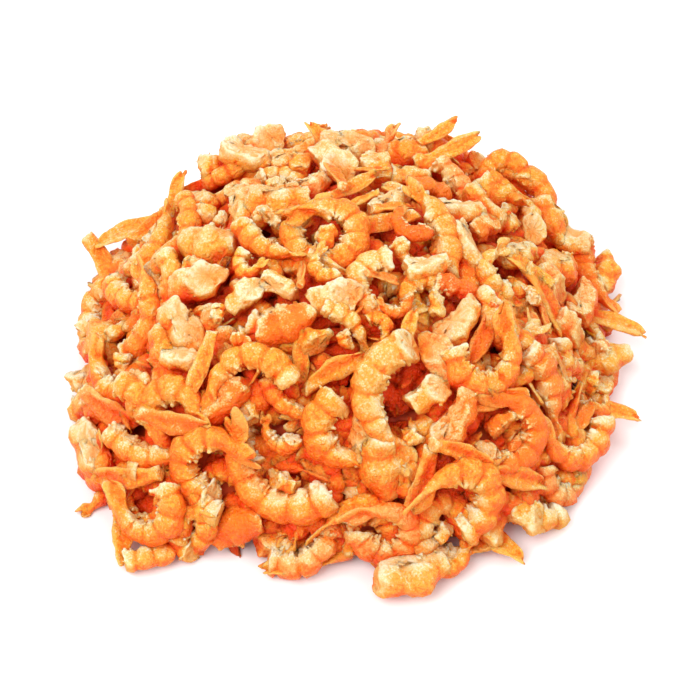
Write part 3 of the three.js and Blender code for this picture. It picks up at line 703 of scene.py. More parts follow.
def straight(name, kind, dice, sides):
    """A disc at the neck, extruded ring by ring along X. The rings of lumps wander off the middle."""
    rings = rings_of(kind)
    wander = kind.girth * MM * (LUMPS_WANDER if kind.outline is LUMP else BODIES_WANDER)
    high, wide = (size * MM for size in ring_size(kind, *rings[0]))
    bpy.ops.object.select_all(action="DESELECT")
    upright = (math.pi / 2, 0, math.pi / 2)
    bpy.ops.mesh.primitive_circle_add(vertices=sides, radius=high, fill_type="NGON", rotation=upright)
    shrimp = bpy.context.object
    shrimp.name = name
    bpy.ops.object.transform_apply(rotation=True)
    bpy.ops.object.mode_set(mode="EDIT")
    bpy.ops.mesh.select_all(action="SELECT")
    bpy.ops.transform.resize(value=(1, 1, wide / high), center_override=(0, 0, 0))
    middle = Vector((0, 0, 0))
    for t, swell in rings[1:]:
        step = Vector((t * kind.length * MM - middle.x, *(dice.uniform(-wander, wander) for _ in "yz")))
        middle += step
        new_high, new_wide = (size * MM * dice.uniform(0.93, 1.07) for size in ring_size(kind, t, swell))
        bpy.ops.mesh.extrude_region_move(TRANSFORM_OT_translate={"value": step})
        bpy.ops.transform.resize(value=(1, new_high / high, new_wide / wide), center_override=middle)
        high, wide = new_high, new_wide
    bpy.ops.mesh.select_all(action="SELECT")
    bpy.ops.mesh.normals_make_consistent(inside=False)
    bpy.ops.object.mode_set(mode="OBJECT")
    return shrimp


# %% Tip of the tail
def close_tip(shrimp, kind):
    """Draws the last ring in, so that the tip is closed without one large face."""
    length = kind.length * MM
    choose(shrimp, lambda face: face.normal.x > 0.9 and face.center.x > 0.98 * length)
    bpy.ops.mesh.inset(thickness=kind.radius_at(1) * MM * 0.25)
    bpy.ops.mesh.poke()
    bpy.ops.object.mode_set(mode="OBJECT")


# %% Broken ends
def breaks_of(kind, dice):
    """Where a piece broke: for each break a point of its plane, and the way out of the flesh."""
    def aslant(x, y, z, slant):
        return Vector((x, y, z)) + Vector([dice.uniform(-slant, slant) for _ in "xyz"])

    def place(along, down, aside):
        return Vector((along * kind.length, down * kind.girth, aside * kind.girth)) * MM

    if kind.outline is FAN:
        return [(place(0.05, 0, 0), aslant(-1, 0, 0, 0.5))]
    breaks = [(place(0.07, 0, 0), aslant(-1, 0, 0, 0.45))]
    if kind.outline is LUMP:
        breaks.append((place(0.92, 0, 0), aslant(1, 0, 0, 0.5)))
        side = dice.choice((-1, 1))
        breaks.append((place(0.5, 0, side * 0.32), aslant(0, 0.4, side, 0.45)))
        breaks.append((place(0.4, 0.34, 0), aslant(0, 1, 0, 0.45)))
    return breaks


def snap(shrimp, kind, breaks, dice):
    """Cuts a piece where it broke, and leaves a rough, slightly hollow face on each break."""
    for place, way in breaks:
        only(shrimp)
        bpy.ops.object.mode_set(mode="EDIT")
        bpy.ops.mesh.select_mode(type="FACE")
        bpy.ops.mesh.select_all(action="SELECT")
        bpy.ops.mesh.bisect(plane_co=place, plane_no=way, use_fill=True, clear_outer=True)
        bpy.ops.object.mode_set(mode="OBJECT")
        cut = [vertex.co for vertex in shrimp.data.vertices if vertex.select]
        bpy.ops.object.mode_set(mode="EDIT")
        middle = sum(cut, Vector()) / max(len(cut), 1)
        hollow = way.normalized() * dice.uniform(-0.06, 0.05) * kind.girth * MM
        for shrink, sink in ((0.9, hollow * 0), (0.6, hollow)):
            bpy.ops.mesh.extrude_region_move(TRANSFORM_OT_translate={"value": sink})
            bpy.ops.transform.resize(value=(shrink, shrink, shrink), center_override=middle)
        bpy.ops.mesh.merge(type="COLLAPSE")
        bpy.ops.object.mode_set(mode="OBJECT")


# %% Belly, vein and legs
def shape_body(shrimp, kind, dice):
    """Flattens the belly, sinks the vein line along the back, and leaves stumps of legs."""
    length, girth = kind.length * MM, kind.girth * MM

    def in_body(co):
        return 0.04 * length < co.x < 0.72 * length

    def leg_stump(face):
        beside = 0.04 < abs(face.center.z) / girth < 0.3
        return in_body(face.center) and face.normal.y > 0.55 and beside and dice.random() < 0.5

    choose(shrimp, lambda v: in_body(v.co) and v.co.y > 0.36 * girth, "vertices")
    bpy.ops.transform.translate(value=(0, -0.1 * girth, 0))
    vein = 0.06 * girth
    choose(shrimp, lambda v: in_body(v.co) and v.co.y < -0.3 * girth and abs(v.co.z) < vein, "vertices")
    bpy.ops.transform.translate(value=(0, 0.05 * girth, 0))
    choose(shrimp, leg_stump)
    if shrimp.data.total_face_sel:
        bpy.ops.mesh.inset(thickness=0.05 * girth, depth=0.13 * girth, use_individual=True)
    bpy.ops.object.mode_set(mode="OBJECT")


# %% [markdown]
# The fan is a shell that dried to a gutter. It could be a piece of its own, but as the last rings of the
# body it joins without a seam: its middle is pressed down, its rims are thinned, and its tip is forked.

# %% Tail fan
def shape_fan(shrimp, kind, start, across):
    """Turns the fan into a gutter with thin rims and a forked tip. Across is its wide axis."""
    length = kind.length * MM
    other = 3 - across
    fan = [v.co for v in shrimp.data.vertices if v.co.x > start * length]
    widest = max(abs(co[across]) for co in fan)
    thickest = max(abs(co[other]) for co in fan if co.x > (start + 0.3 * (1 - start)) * length)

    def move(test, axis, distance):
        choose(shrimp, lambda v: v.co.x > start * length and test(v.co), "vertices")
        offset = [0, 0, 0]
        offset[axis] = distance
        bpy.ops.transform.translate(value=offset)

    choose(shrimp, lambda v: v.co.x > start * length and abs(v.co[across]) > 0.4 * widest, "vertices")
    squeeze = [1, 1, 1]
    squeeze[other] = 0.5
    bpy.ops.transform.resize(value=squeeze, center_override=(length, 0, 0))
    move(lambda co: abs(co[across]) > 0.4 * widest, other, 0.35 * thickest)
    move(lambda co: abs(co[across]) < 0.25 * widest and co[other] > 0, other, -0.85 * thickest)
    move(lambda co: co.x > 0.9 * length and abs(co[across]) < 0.12 * widest, 0, -0.06 * length)
    move(lambda co: co.x > 0.97 * length and co[across] > 0.1 * widest, 0, 0.05 * length)
    bpy.ops.object.mode_set(mode="OBJECT")


# %% [markdown]
# A straight shrimp gets notes for the painter before it is bent, as point attributes, which stay with
# their points: which side is belly, where the tail, the seams and the vein are, and how torn the skin is.
# The torn and open places also go into a vertex group, which will make the fine wrinkles deepest there.

# %% Notes on the surface
def note(mesh, name, values):
    """Stores one number for each point of a mesh."""
    layer = mesh.attributes.get(name) or mesh.attributes.new(name, "FLOAT", "POINT")
    layer.data.foreach_set("value", np.asarray(values, np.float32))


def points_of(mesh):
    points = np.zeros(len(mesh.vertices) * 3)
    mesh.vertices.foreach_get("co", points)
    return points.reshape(-1, 3)


def note_body(shrimp, kind, breaks):
    points = points_of(shrimp.data)
    along = np.clip(points[:, 0] / (kind.length * MM), 0, 1)
    radius = np.array([kind.radius_at(t) for t in along]) * MM
    belly = np.clip(points[:, 1] / radius, -1, 1)
    neck = np.clip(1 - along / 0.16, 0, 1)
    for place, way in breaks:
        inward = -(points - place) @ np.array(way.normalized()) / MM
        neck = np.maximum(neck, np.clip(1.2 - inward / 1.2, 0, 1))
    if kind.outline is BODY:
        tail = np.clip((along - 0.68) / 0.12, 0, 1)
        torn = np.clip(neck + np.clip(belly, 0, 1) ** 2 * (1 - tail), 0, 1)
    elif kind.outline is FAN:
        tail = np.clip((along - 0.05) / 0.2, 0, 1)
        torn = neck * 0.5
    else:
        tail = np.zeros(len(along))
        torn = np.clip(0.7 * neck + 0.4 * np.clip(belly, 0, 1) ** 2, 0, 1)
    for name, values in (("belly", belly), ("tail", tail), ("torn", torn)):
        note(shrimp.data, name, values)
    rings = body_rings(kind) if kind.outline is BODY else []
    grooves = [t for t, swell in rings if swell == GROOVE] or [0.34, 0.72]
    seam = [max(1 - min(abs(t - groove) for groove in grooves) * kind.length / 0.9, 0) for t in along]
    note(shrimp.data, "seam", np.array(seam) * (1 - tail))
    wide_axis, widest = (2, 1.4) if kind.outline is BODY else (1, 1.08)
    note(shrimp.data, "across", np.clip(points[:, wide_axis] / (radius * widest), -1, 1))
    vein = np.clip(1.3 - np.abs(points[:, 2]) / (0.07 * kind.girth * MM), 0, 1) * (points[:, 1] < 0)
    note(shrimp.data, "vein", vein * (1 - tail) * (1 - neck) * (kind.outline is BODY))
    group = shrimp.vertex_groups.new(name="rough")
    for i, value in enumerate(0.35 + 0.65 * torn - 0.25 * tail):
        group.add([i], float(value), "REPLACE")


# %% [markdown]
# A shrimp curls because its back is longer than its belly. We could turn it ring by ring, but a Curve
# modifier bends the whole body smoothly. The curve's tilt also twists the fan, which hardly ever lies
# flat in the plane of the curl.

# %% Bending a straight shrimp along its spine
def bend(shrimp, kind, dice):
    """A Curve modifier lays the straight body along the spine, and the curve's tilt twists the fan."""
    curve = bpy.data.curves.new("spine", "CURVE")
    curve.dimensions = "3D"
    curve.twist_mode = "Z_UP"
    curve.use_stretch = curve.use_deform_bounds = True
    curve.resolution_u = 8
    spline = curve.splines.new("BEZIER")
    spine = kind.spine[::2] * MM
    spline.bezier_points.add(len(spine) - 1)
    fan_turn = math.radians(dice.choice((-80, 75, 90, 50)) if kind.outline is BODY else 0)
    body_turn = math.radians(dice.uniform(-18, 18))
    for i, (point, place) in enumerate(zip(spline.bezier_points, spine)):
        t = i / (len(spine) - 1)
        point.co = place
        point.handle_left_type = point.handle_right_type = "AUTO"
        point.tilt = body_turn * (t - 0.3) + fan_turn * ease((t - 0.62) / 0.25)
    rail = bpy.data.objects.new("spine", curve)
    scene.collection.objects.link(rail)
    modifier = shrimp.modifiers.new("bend", "CURVE")
    modifier.object = rail
    modifier.deform_axis = "POS_X"
    apply_modifiers(shrimp)
    bpy.data.objects.remove(rail)


# %% [markdown]
# Where the skin is torn, shreds of it stand up. Single faces are inset and lifted to small spikes, only
# on the fine models, which show. The faces are drawn by chance, so they are put in order first.

# %% Torn skin
def fray(shrimp, share, dice):
    """Pulls small spikes out of the torn faces."""
    torn = np.zeros(len(shrimp.data.vertices))
    shrimp.data.attributes["torn"].data.foreach_get("value", torn)

    def ragged(face):
        square = len(face.vertices) == 4 and face.area > (0.5 * MM) ** 2
        return square and dice.random() < share * torn[list(face.vertices)].mean() ** 2

    choose(shrimp, ragged)
    if shrimp.data.total_face_sel:
        bpy.ops.mesh.inset(thickness=0.16 * MM, depth=0.3 * MM, use_individual=True)
        bpy.ops.mesh.select_random(ratio=0.5, seed=3, action="DESELECT")
        bpy.ops.mesh.inset(thickness=0.07 * MM, depth=0.35 * MM, use_individual=True)
    bpy.ops.object.mode_set(mode="OBJECT")


# %% [markdown]
# Now each kind is made: four fine models, each with dice of its own, and a plain one. A subdivision
# rounds the fine ones before they are bent. Every step that draws by chance comes after a sort.

# %% The shrimps, once each
def model(kind, variant, fine=True):
    dice = random.Random(f"{kind.name} {variant}")
    shrimp = straight(f"{kind.name}_{variant}", kind, dice, FINE_SIDES if fine else PLAIN_SIDES)
    close_tip(shrimp, kind)
    put_in_order(shrimp)
    if kind.outline is BODY:
        shape_body(shrimp, kind, dice)
        shape_fan(shrimp, kind, 0.84, 2)
    elif kind.outline is FAN:
        shape_fan(shrimp, kind, 0.25, 1)
    put_in_order(shrimp)
    bpy.ops.object.mode_set(mode="EDIT")
    bpy.ops.mesh.select_all(action="SELECT")
    knocked = 0.45 if kind.outline is LUMP else 0.25
    bpy.ops.transform.vertex_random(offset=knocked * MM, seed=variant * 7 + 3, normal=0.3)
    bpy.ops.object.mode_set(mode="OBJECT")
    breaks = breaks_of(kind, dice)
    snap(shrimp, kind, breaks, dice)
    if fine:
        smooth = shrimp.modifiers.new("smooth", "SUBSURF")
        smooth.levels = smooth.render_levels = 1
        apply_modifiers(shrimp)
    note_body(shrimp, kind, breaks)
    bend(shrimp, kind, dice)
    put_in_order(shrimp)
    if fine:
        fray(shrimp, 0.07, dice)
        put_in_order(shrimp)
    return shrimp


masters = {}
for kind in KINDS.values():
    for variant in range(VARIANTS):
        masters[kind.name, variant] = model(kind, variant)
    masters[kind.name, "plain"] = model(kind, 0, fine=False)
    first = masters[kind.name, 0].data
    print(kind.name, "has", len(first.polygons), "faces")

# %% [markdown]
# ## Laying them
# Each shrimp of the pile becomes a copy with a mesh of its own, turned and moved by its pose.
# The copies of one kind are joined, so that the heap is eight pieces and not hundreds.
# Each copy notes its colour, how dry it is, and how deep each of its points lies between the others.
# For that the pile's balls give the height of the heap's skin, smoothed over a few millimetres, and
# what lies under it counts less on a steep side, where the light comes in from beside.

# %% Copies
TONES = {
    "orange": ((0.95, 0.4, 0.03), 0.0),
    "deep": ((0.92, 0.28, 0.016), -0.1),
    "red": ((0.88, 0.14, 0.008), -0.2),
    "pink": ((0.93, 0.4, 0.1), 0.02),
    "cream": ((0.95, 0.44, 0.05), 0.26),
    "yellow": ((0.97, 0.48, 0.045), 0.06),
}
POURED_TONES = ("orange",) * 8 + ("deep",) * 4 + ("red",) + ("pink",) * 2 + ("cream",) * 5 + ("yellow",) * 3
DEEP_AT, THICK_AT, COVERED_COUNTS = 6.0, 16.0, 0.2
GRID_STEP, GRID_HALF, BALL_REACH = 1.0, 100, 6


def smoothed(grid, apart, times):
    """A grid whose heights are averaged with those beside them, again and again."""
    for _ in range(times):
        beside = sum(np.roll(grid, shift, axis) for axis in (0, 1) for shift in (apart, -apart))
        grid = (grid + beside) / 5
    return grid


def skin_of_the_heap():
    """The height of the heap above each place of a grid, smoothed over a few millimetres."""
    side = np.arange(-GRID_HALF, GRID_HALF + GRID_STEP, GRID_STEP)
    x, y = np.meshgrid(side, side, indexing="ij")
    skin = np.zeros_like(x)
    for (cx, cy, cz), radius in zip(pile.balls, pile.radii):
        i, j = (int(middle) + GRID_HALF - BALL_REACH for middle in (cx, cy))
        part = (slice(i, i + 2 * BALL_REACH + 1), slice(j, j + 2 * BALL_REACH + 1))
        inside = radius**2 - (x[part] - cx) ** 2 - (y[part] - cy) ** 2
        skin[part] = np.maximum(skin[part], np.where(inside > 0, cz + np.sqrt(np.maximum(inside, 0)), 0))
    return smoothed(skin, 1, 6)


def square_to(skin):
    """How much of a height counts square to the slope of the skin: 1 on top, less on the steep sides."""
    across, back = np.gradient(smoothed(skin, 2, 12), GRID_STEP)
    return 1 / np.sqrt(1 + across**2 + back**2)


SKIN = skin_of_the_heap()
SQUARE = square_to(SKIN)


def placed(piece, master):
    """A copy of a master's mesh where the piece lies."""
    mesh = master.data.copy()
    matrix = (
        Matrix.Rotation(piece.facing, 4, "Z") @ Matrix.Rotation(piece.lean, 4, "Y")
        @ Matrix.Rotation(piece.spin - piece.facing, 4, "Z") @ Matrix.Scale(piece.size, 4)
    )
    if piece.mirrored:
        matrix = matrix @ Matrix.Diagonal((1, -1, 1, 1))
    place = (np.array((piece.x, piece.y, piece.z)) - HEAP_MIDDLE) * MM
    mesh.transform(Matrix.Translation(place) @ matrix)
    if piece.mirrored:
        mesh.flip_normals()
    return mesh


def note_piece(mesh, tone, dry, share):
    """Notes the piece's colour, how dry it is, and how deep each point lies between the others."""
    count = len(mesh.vertices)
    layer = mesh.attributes.new("tone", "FLOAT_COLOR", "POINT")
    layer.data.foreach_set("color", np.tile((*tone, 1.0), count))
    note(mesh, "dry", np.full(count, dry))
    points = points_of(mesh) / MM + HEAP_MIDDLE
    cells = np.clip(points[:, :2].round().astype(int) + GRID_HALF, 0, 2 * GRID_HALF)
    skin, square = (grid[cells[:, 0], cells[:, 1]] for grid in (SKIN, SQUARE))
    under = (skin - points[:, 2]) * square / DEEP_AT + COVERED_COUNTS * (1 - share)
    note(mesh, "depth", np.clip(under * np.clip(skin / THICK_AT, 0.15, 1), 0, 1))


def join_up(name, meshes):
    objects = []
    for mesh in meshes:
        copy = bpy.data.objects.new(name, mesh)
        scene.collection.objects.link(copy)
        objects.append(copy)
    only(objects[0])
    for copy in objects[1:]:
        copy.select_set(True)
    bpy.ops.object.join()
    objects[0].name = name
    return objects[0]


paint_dice = random.Random(5)
copies = {name: [] for name in KINDS}
for piece, share in zip(pile.pieces + beneath, shares):
    variant = paint_dice.randrange(VARIANTS) if share > ENOUGH else "plain"
    mesh = placed(piece, masters[piece.kind, variant])
    tone, dry = TONES[piece.tone or paint_dice.choice(POURED_TONES)]
    tone = [min(channel * paint_dice.uniform(0.94, 1.04), 1) for channel in tone]
    note_piece(mesh, tone, dry + paint_dice.uniform(-0.1, 0.1), share)
    copies[piece.kind].append(mesh)
kinds = {name: join_up(f"shrimp_{name}s", meshes) for name, meshes in copies.items()}
triangles = {name: sum(len(f.vertices) - 2 for f in obj.data.polygons) for name, obj in kinds.items()}
print(triangles, "triangles,", sum(triangles.values()), "in all")
for master in masters.values():
    bpy.data.objects.remove(master)

# %% [markdown]
# ## Wrinkles
# Drying shrinks the flesh unevenly. Three Displace modifiers push the joined pieces in and out along
# their normals: slow lumps, creases with sharp ridges, and fine wrinkles where the skin is torn.
# Their noise fills space, so no two copies wrinkle alike. What they push below the table is lifted again.
# Then two more notes follow for the painter: the ridges, where the frost lies, and the flanks, which face
# to the side and get painted shade in place of frost.

# %% Lumps and wrinkles
LUMP_SIZE, CREASE_SIZE, WRINKLE_SIZE, KNOB_SIZE = 4.5, 2.6, 1.1, 3.0
TABLE = 0.02 * MM


def wrinkle(obj, name, texture, depth, middle=0.5, group=""):
    modifier = obj.modifiers.new(name, "DISPLACE")
    modifier.texture = texture
    modifier.texture_coords = "LOCAL"
    modifier.strength = depth * MM
    modifier.mid_level = middle
    modifier.vertex_group = group


def clouds(size):
    texture = bpy.data.textures.new("clouds", "CLOUDS")
    texture.noise_scale = size * MM
    texture.noise_depth = 1
    return texture


def creases(size):
    """Hollows with sharp ridges between them, as on anything that shrank while it dried."""
    texture = bpy.data.textures.new("creases", "VORONOI")
    texture.noise_scale = size * MM
    return texture


def keep_off_the_table(obj):
    """Lifts the points that the wrinkles have pushed below the table."""
    points = points_of(obj.data)
    points[:, 2] = np.maximum(points[:, 2], TABLE)
    obj.data.vertices.foreach_set("co", points.ravel())
    obj.data.update()


def note_ridges(obj):
    """Notes how far each point stands out from its neighbours, and how far it faces off to the side."""
    mesh = obj.data
    points = points_of(mesh)
    normals = np.zeros(len(points) * 3)
    mesh.vertices.foreach_get("normal", normals)
    ends = np.zeros(len(mesh.edges) * 2, int)
    mesh.edges.foreach_get("vertices", ends)
    a, b = ends[::2], ends[1::2]
    edge = points[b] - points[a]
    length = np.linalg.norm(edge, axis=1) + 1e-9
    normals = normals.reshape(-1, 3)
    lift = np.zeros(len(points))
    np.add.at(lift, a, -(edge * normals[a]).sum(1) / length)
    np.add.at(lift, b, (edge * normals[b]).sum(1) / length)
    count = np.maximum(np.bincount(ends, minlength=len(points)), 1)
    note(mesh, "ridge", np.clip(0.5 + 1.2 * lift / count, 0, 1))
    note(mesh, "flank", np.clip(1 - normals[:, 2], 0, 1))


for name, obj in kinds.items():
    lumpy, creased = (1.5, 1.0) if KINDS[name].outline is LUMP else (1.1, 0.4)
    wrinkle(obj, "lumps", clouds(LUMP_SIZE), lumpy, 0.52)
    wrinkle(obj, "creases", creases(CREASE_SIZE), creased, 0.47)
    wrinkle(obj, "wrinkles", clouds(WRINKLE_SIZE), 0.8, group="rough")
    apply_modifiers(obj)
    keep_off_the_table(obj)
    note_ridges(obj)
    obj.vertex_groups.clear()
    bpy.ops.object.shade_smooth()
    print(obj.name, "reaches", round(max(corner[2] for corner in obj.bound_box) / MM, 1), "mm up")

# %% [markdown]
# ## The heart of the heap
# Between the shrimps one looks into dark red gaps. A core fills the heap below them, so that no gap
# reaches the table. It could be a half ball, but the heap isn't round: so it is a disc, extruded once
# upwards and then drawn in ring by ring towards its middle, and each point is moved to the dome.

# %% Core
CORE_SHARE, CORE_SUNK = 0.85, 11.0
CORE_SIDES, CORE_RINGS = 96, 30


def heap_core():
    bpy.ops.object.select_all(action="DESELECT")
    bpy.ops.mesh.primitive_circle_add(vertices=CORE_SIDES, radius=1, fill_type="NGON")
    core = bpy.context.object
    core.name = "heap_core"
    bpy.ops.object.mode_set(mode="EDIT")
    bpy.ops.mesh.select_mode(type="FACE")
    bpy.ops.mesh.select_all(action="SELECT")
    bpy.ops.mesh.extrude_region_move(TRANSFORM_OT_translate={"value": (0, 0, 1)})
    for i in range(CORE_RINGS - 1, 0, -1):
        bpy.ops.mesh.extrude_region_move(TRANSFORM_OT_translate={"value": (0, 0, 0)})
        shrink = i / (i + 1)
        bpy.ops.transform.resize(value=(shrink, shrink, 1), center_override=(0, 0, 0))
    bpy.ops.mesh.poke()
    bpy.ops.object.mode_set(mode="OBJECT")
    for vertex in core.data.vertices:
        angle = math.atan2(vertex.co.y, vertex.co.x)
        x, y = at(angle, math.hypot(vertex.co.x, vertex.co.y) * CORE_SHARE)
        top = max(dome_height(x, y) - CORE_SUNK, 0.5)
        height = top if vertex.co.z > 0.5 else 0.2
        vertex.co = (Vector((x, y, height)) - Vector(HEAP_MIDDLE)) * MM
    only(core)
    bpy.ops.object.mode_set(mode="EDIT")
    bpy.ops.mesh.select_all(action="SELECT")
    bpy.ops.mesh.normals_make_consistent(inside=False)
    bpy.ops.object.mode_set(mode="OBJECT")
    wrinkle(core, "knobs", clouds(KNOB_SIZE), 3.0)
    apply_modifiers(core)
    keep_off_the_table(core)
    bpy.ops.object.shade_smooth()
    return core


core = heap_core()
print("the core has", len(core.data.polygons), "faces")

# %% [markdown]
# ## Painting with expressions
# Shader nodes read better as sums. A small class wraps a socket, so that noise * 2 + 1 adds the Math
# nodes itself. Colours go through Mix nodes, because a Math node would turn them grey.

# %% Sockets as values
class Field:
    """A value that changes over the surface."""

    def __init__(self, paint, socket):
        self.paint, self.socket = paint, socket

    def math(self, operation, *values):
        return self.paint.node("ShaderNodeMath", {"operation": operation}, dict(enumerate(values)))

    def __add__(self, other):
        return self.math("ADD", self, other)

    def __sub__(self, other):
        return self.math("SUBTRACT", self, other)

    def __rsub__(self, other):
        return self.math("SUBTRACT", other, self)

    def __mul__(self, other):
        return self.math("MULTIPLY", self, other)

    __radd__ = __add__
    __rmul__ = __mul__


class Paint:
    """A material and its nodes."""

    def __init__(self, name):
        self.material = bpy.data.materials.new(name)
        self.material.use_nodes = True
        self.tree = self.material.node_tree
        self.shader = self.tree.nodes["Principled BSDF"]

    def node(self, kind, settings=None, inputs=None, output=0):
        node = self.tree.nodes.new(kind)
        for name, value in (settings or {}).items():
            setattr(node, name, value)
        for name, value in (inputs or {}).items():
            self.set(node.inputs[name], value)
        return Field(self, node.outputs[output])

    def set(self, socket, value):
        if isinstance(value, Field):
            self.tree.links.new(value.socket, socket)
        elif hasattr(socket.default_value, "__len__") and len(value) == 3 and socket.type == "RGBA":
            socket.default_value = (*value, 1)
        else:
            socket.default_value = value

    def mix(self, a, b, factor):
        return self.node("ShaderNodeMix", {"data_type": "RGBA"}, {0: factor, 6: a, 7: b}, 2)

    def tint(self, a, b, factor):
        settings = {"data_type": "RGBA", "blend_type": "MULTIPLY"}
        return self.node("ShaderNodeMix", settings, {0: factor, 6: a, 7: b}, 2)

    def noted(self, name, output="Fac"):
        return self.node("ShaderNodeAttribute", {"attribute_name": name}, output=output)

    def place(self):
        return self.node("ShaderNodeTexCoord", output="Object")

    def noise(self, size, detail=2.0, rough=0.5, warp=0.0):
        """Noise whose spots are about size millimetres across."""
        inputs = {"Vector": self.place(), "Scale": 1 / (size * MM), "Detail": detail, "Roughness": rough}
        return self.node("ShaderNodeTexNoise", {}, inputs | {"Distortion": warp})

    def nudged(self, size, far):
        """The place, nudged about by noise, so that what is drawn there has no straight lines."""
        inputs = {"Vector": self.place(), "Scale": 1 / (size * MM)}
        noise = self.node("ShaderNodeTexNoise", {}, inputs, "Color")
        inputs = {0: noise, 1: (far * MM,) * 3, 2: self.place()}
        return self.node("ShaderNodeVectorMath", {"operation": "MULTIPLY_ADD"}, inputs)

    def cells(self, size, feature="F1", place=None):
        inputs = {"Vector": place or self.place(), "Scale": 1 / (size * MM)}
        return self.node("ShaderNodeTexVoronoi", {"feature": feature}, inputs, "Distance")

    def step(self, value, low, high):
        """0 below low, 1 above high, and a soft change between them."""
        inputs = {"Value": value, "From Min": low, "From Max": high}
        return self.node("ShaderNodeMapRange", {"interpolation_type": "SMOOTHSTEP"}, inputs)

    def bump(self, height, depth, strength=1.0):
        inputs = {"Height": height, "Distance": depth * MM, "Strength": strength}
        self.set(self.shader.inputs["Normal"], self.node("ShaderNodeBump", {}, inputs))


# %% [markdown]
# ## Flesh
# Dried shrimp is orange and a little see-through, like amber, under a pale, dry crust. The crust is
# thickest at the torn neck and belly, and white grains of frost lie on its ridges. The tail is smooth
# and ribbed, with a pale rim, and some backs show their dark vein. Light that falls between the shrimps
# comes back red, so the flesh is deeper in colour on the flanks and further down in the heap.
# It all could be painted on an image, but noise on the shrimps' own notes needs none and never repeats.

# %% Colours of the flesh
MOIST_FLESH, DRY_CRUST, PALE_GRAINS, WHITE_FROST = (
    (0.94, 0.2, 0.006), (0.99, 0.62, 0.18), (1.0, 0.74, 0.36), (1.0, 0.9, 0.66),
)
TAIL_RIB, TAIL_RIM, DARK_VEIN, DEEP_RED = (
    (0.9, 0.24, 0.015), (1.0, 0.56, 0.14), (0.22, 0.05, 0.015), (0.88, 0.055, 0.0),
)
# The crease tint is painted shade in the creases; the flank and depth tints stand for light that comes back
# through the flesh.
CREASE_SHADE, FLANK_TINT, DEPTH_TINT = (1.0, 0.56, 0.2), (1.0, 0.6, 0.2), (1.0, 0.42, 0.05)

# %% What the flesh is painted by
flesh = Paint("dried_flesh")
tone = flesh.noted("tone", "Color")
belly, tail, torn, across = (flesh.noted(name) for name in ("belly", "tail", "torn", "across"))
dry, depth, seam, ridge, vein = (flesh.noted(name) for name in ("dry", "depth", "seam", "ridge", "vein"))
flank = flesh.noted("flank")
patches = flesh.noise(3.4, 5.0, 0.62, 1.2)
blotches = flesh.noise(1.0, 4.0, 0.7, 0.6)
grain = flesh.noise(0.4, 3.0, 0.75)
crystals = flesh.cells(0.6)
flakes = flesh.cells(1.9, "DISTANCE_TO_EDGE", flesh.nudged(1.5, 1.6))
cracks, pillows = 1 - flesh.step(flakes, 0.02, 0.11), flesh.step(flakes, 0.0, 0.3)

# %% [markdown]
# One sum says how dry each spot is, and each further coat starts where it passes a higher step: first
# the piece's own tone over moist flesh, then the crust, pale grains, and white frost on the ridges.
# The sum is lowered on the flanks and deep in the heap, which is painted shade that keeps those parts
# orange.

# %% Crust and frost
crust_and_shade = patches * 1.5 + blotches * 0.9 + torn * 0.75 + belly * 0.16 + ridge * 0.25 + dry + 0.1
# Painted shade: the flanks and the deep places get less crust, so they stay orange.
crust_and_shade = crust_and_shade - seam * 0.35 - tail * 0.1 - depth * 0.3 - cracks * 0.15 - flank * 0.3
frosted = flesh.step(crust_and_shade + patches * 0.8, 1.6, 2.1)
frost = grain * 0.8 - flesh.step(crystals, 0.1, 0.6) * 0.35 + crust_and_shade * 0.5
colour = flesh.mix(MOIST_FLESH, tone, flesh.step(crust_and_shade + blotches * 0.4, 1.1, 1.6))
# The crust and the pale grains are thinned on the flanks: painted shade.
crusted = flesh.step(crust_and_shade + frost * 0.4, 1.65, 2.1) * (0.75 - flank * 0.3)
colour = flesh.mix(colour, DRY_CRUST, crusted)
speckles = (frosted * 0.75 + 0.25) * flesh.step(frost, 0.78, 1.0) * (1 - flank * 0.5)
colour = flesh.mix(colour, PALE_GRAINS, speckles * 0.85)
# White frost only on the ridges, where the dry edges are palest, and none on the flanks, which is painted
# shade.
white = frosted * flesh.step(ridge, 0.35, 0.6) * flesh.step(frost, 1.05, 1.2) * (1 - flank)
colour = flesh.mix(colour, WHITE_FROST, white * 0.9)
# Painted shade: where the ridge note is low, in the creases, the colour is tinted darker orange.
colour = flesh.tint(colour, CREASE_SHADE, flesh.step(1 - ridge, 0.52, 0.85) * 0.6)

# %% [markdown]
# A fan's ribs run along it. Stripes could be a Wave texture, but the sine of how far across the fan a
# point lies follows every bend. The vein is dark only in places, as on the real backs.

# %% Tail and vein
ribs = flesh.node("ShaderNodeMath", {"operation": "SINE"}, {0: across * 16})
colour = flesh.mix(colour, TAIL_RIB, flesh.step(ribs, 0.3, 1.0) * tail * 0.4)
rim = flesh.step(across * across, 0.35, 0.8)
colour = flesh.mix(colour, TAIL_RIM, rim * tail * 0.5)
on_some = flesh.step(flesh.noise(14), 0.56, 0.6) * flesh.step(blotches, 0.4, 0.55)
colour = flesh.mix(colour, DARK_VEIN, vein * on_some * 0.8)

# %% [markdown]
# Light that comes back from between the shrimps has passed through flesh. Cycles can bounce it, but
# only a few times, so a tint that deepens on the flanks and down in the heap does the rest.

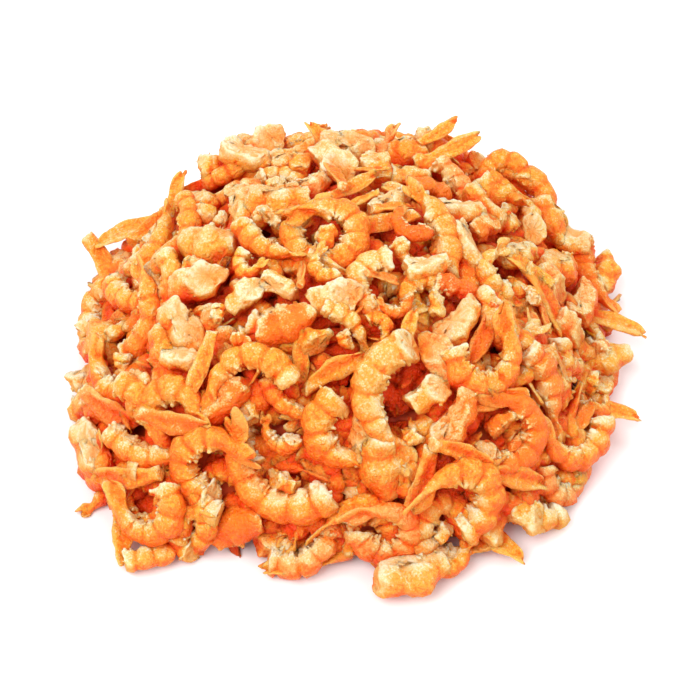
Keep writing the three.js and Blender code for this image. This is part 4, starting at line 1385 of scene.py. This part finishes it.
# %% Flanks and depth
colour = flesh.tint(colour, FLANK_TINT, flesh.step(flank, 0.15, 0.9) * 0.85)
colour = flesh.tint(colour, DEPTH_TINT, flesh.step(depth, -0.05, 0.6))
colour = flesh.mix(colour, DEEP_RED, flesh.step(depth, 0.45, 1.0) * 0.9)
flesh.set(flesh.shader.inputs["Base Color"], colour)

# %% [markdown]
# Moist flesh shines and the frosted crust doesn't. Grains and flakes too small to model are a bump,
# and scattering under the surface lets the light through like amber.

# %% Shine, grain and light inside
flesh.set(flesh.shader.inputs["Roughness"], 0.26 + grain * 0.25 + frosted * 0.25)
relief = blotches * 1.2 + (grain - crystals * 0.5) * (frosted * 0.8 + 0.3) + pillows * 0.6
flesh.bump(relief, 0.6)
flesh.shader.inputs["Subsurface Weight"].default_value = 0.6
flesh.shader.inputs["Subsurface Radius"].default_value = (1.0, 0.95, 0.9)
flesh.shader.inputs["Subsurface Scale"].default_value = 1.2 * MM
flesh.shader.inputs["Specular IOR Level"].default_value = 0.4
for obj in kinds.values():
    obj.data.materials.clear()
    obj.data.materials.append(flesh.material)

# %% [markdown]
# The core hardly shows. It is painted the dark red of the painted shade deep in the heap, a little uneven,
# and the floor as plain white paper.

# %% Core and floor
# Both colours of the core are painted shade: the dark red seen deep in the gaps.
HEART_DARK, HEART_LIGHT = (0.6, 0.03, 0.0), (0.9, 0.12, 0.006)
PAPER_DARK, PAPER_LIGHT = (0.9, 0.9, 0.9), (0.92, 0.92, 0.92)

heart = Paint("dark_heart")
knots = heart.noise(4, 2.0)
heart.set(heart.shader.inputs["Base Color"], heart.mix(HEART_DARK, HEART_LIGHT, knots))
heart.set(heart.shader.inputs["Roughness"], 0.5 + knots * 0.3)
core.data.materials.append(heart.material)

paper = Paint("white_paper")
paper.set(paper.shader.inputs["Base Color"], paper.mix(PAPER_DARK, PAPER_LIGHT, paper.noise(30)))
paper.shader.inputs["Roughness"].default_value = 0.9
floor.data.materials.append(paper.material)
print("flesh, heart and paper have", [len(p.tree.nodes) for p in (flesh, heart, paper)], "nodes")

# %% [markdown]
# ## Onto the frame
# Every piece rides on the heap's one body and stands for its solid, which is hidden.

# %% Frame
for piece in [*kinds.values(), core]:
    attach(piece, "root")
    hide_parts("shrimp_heap")
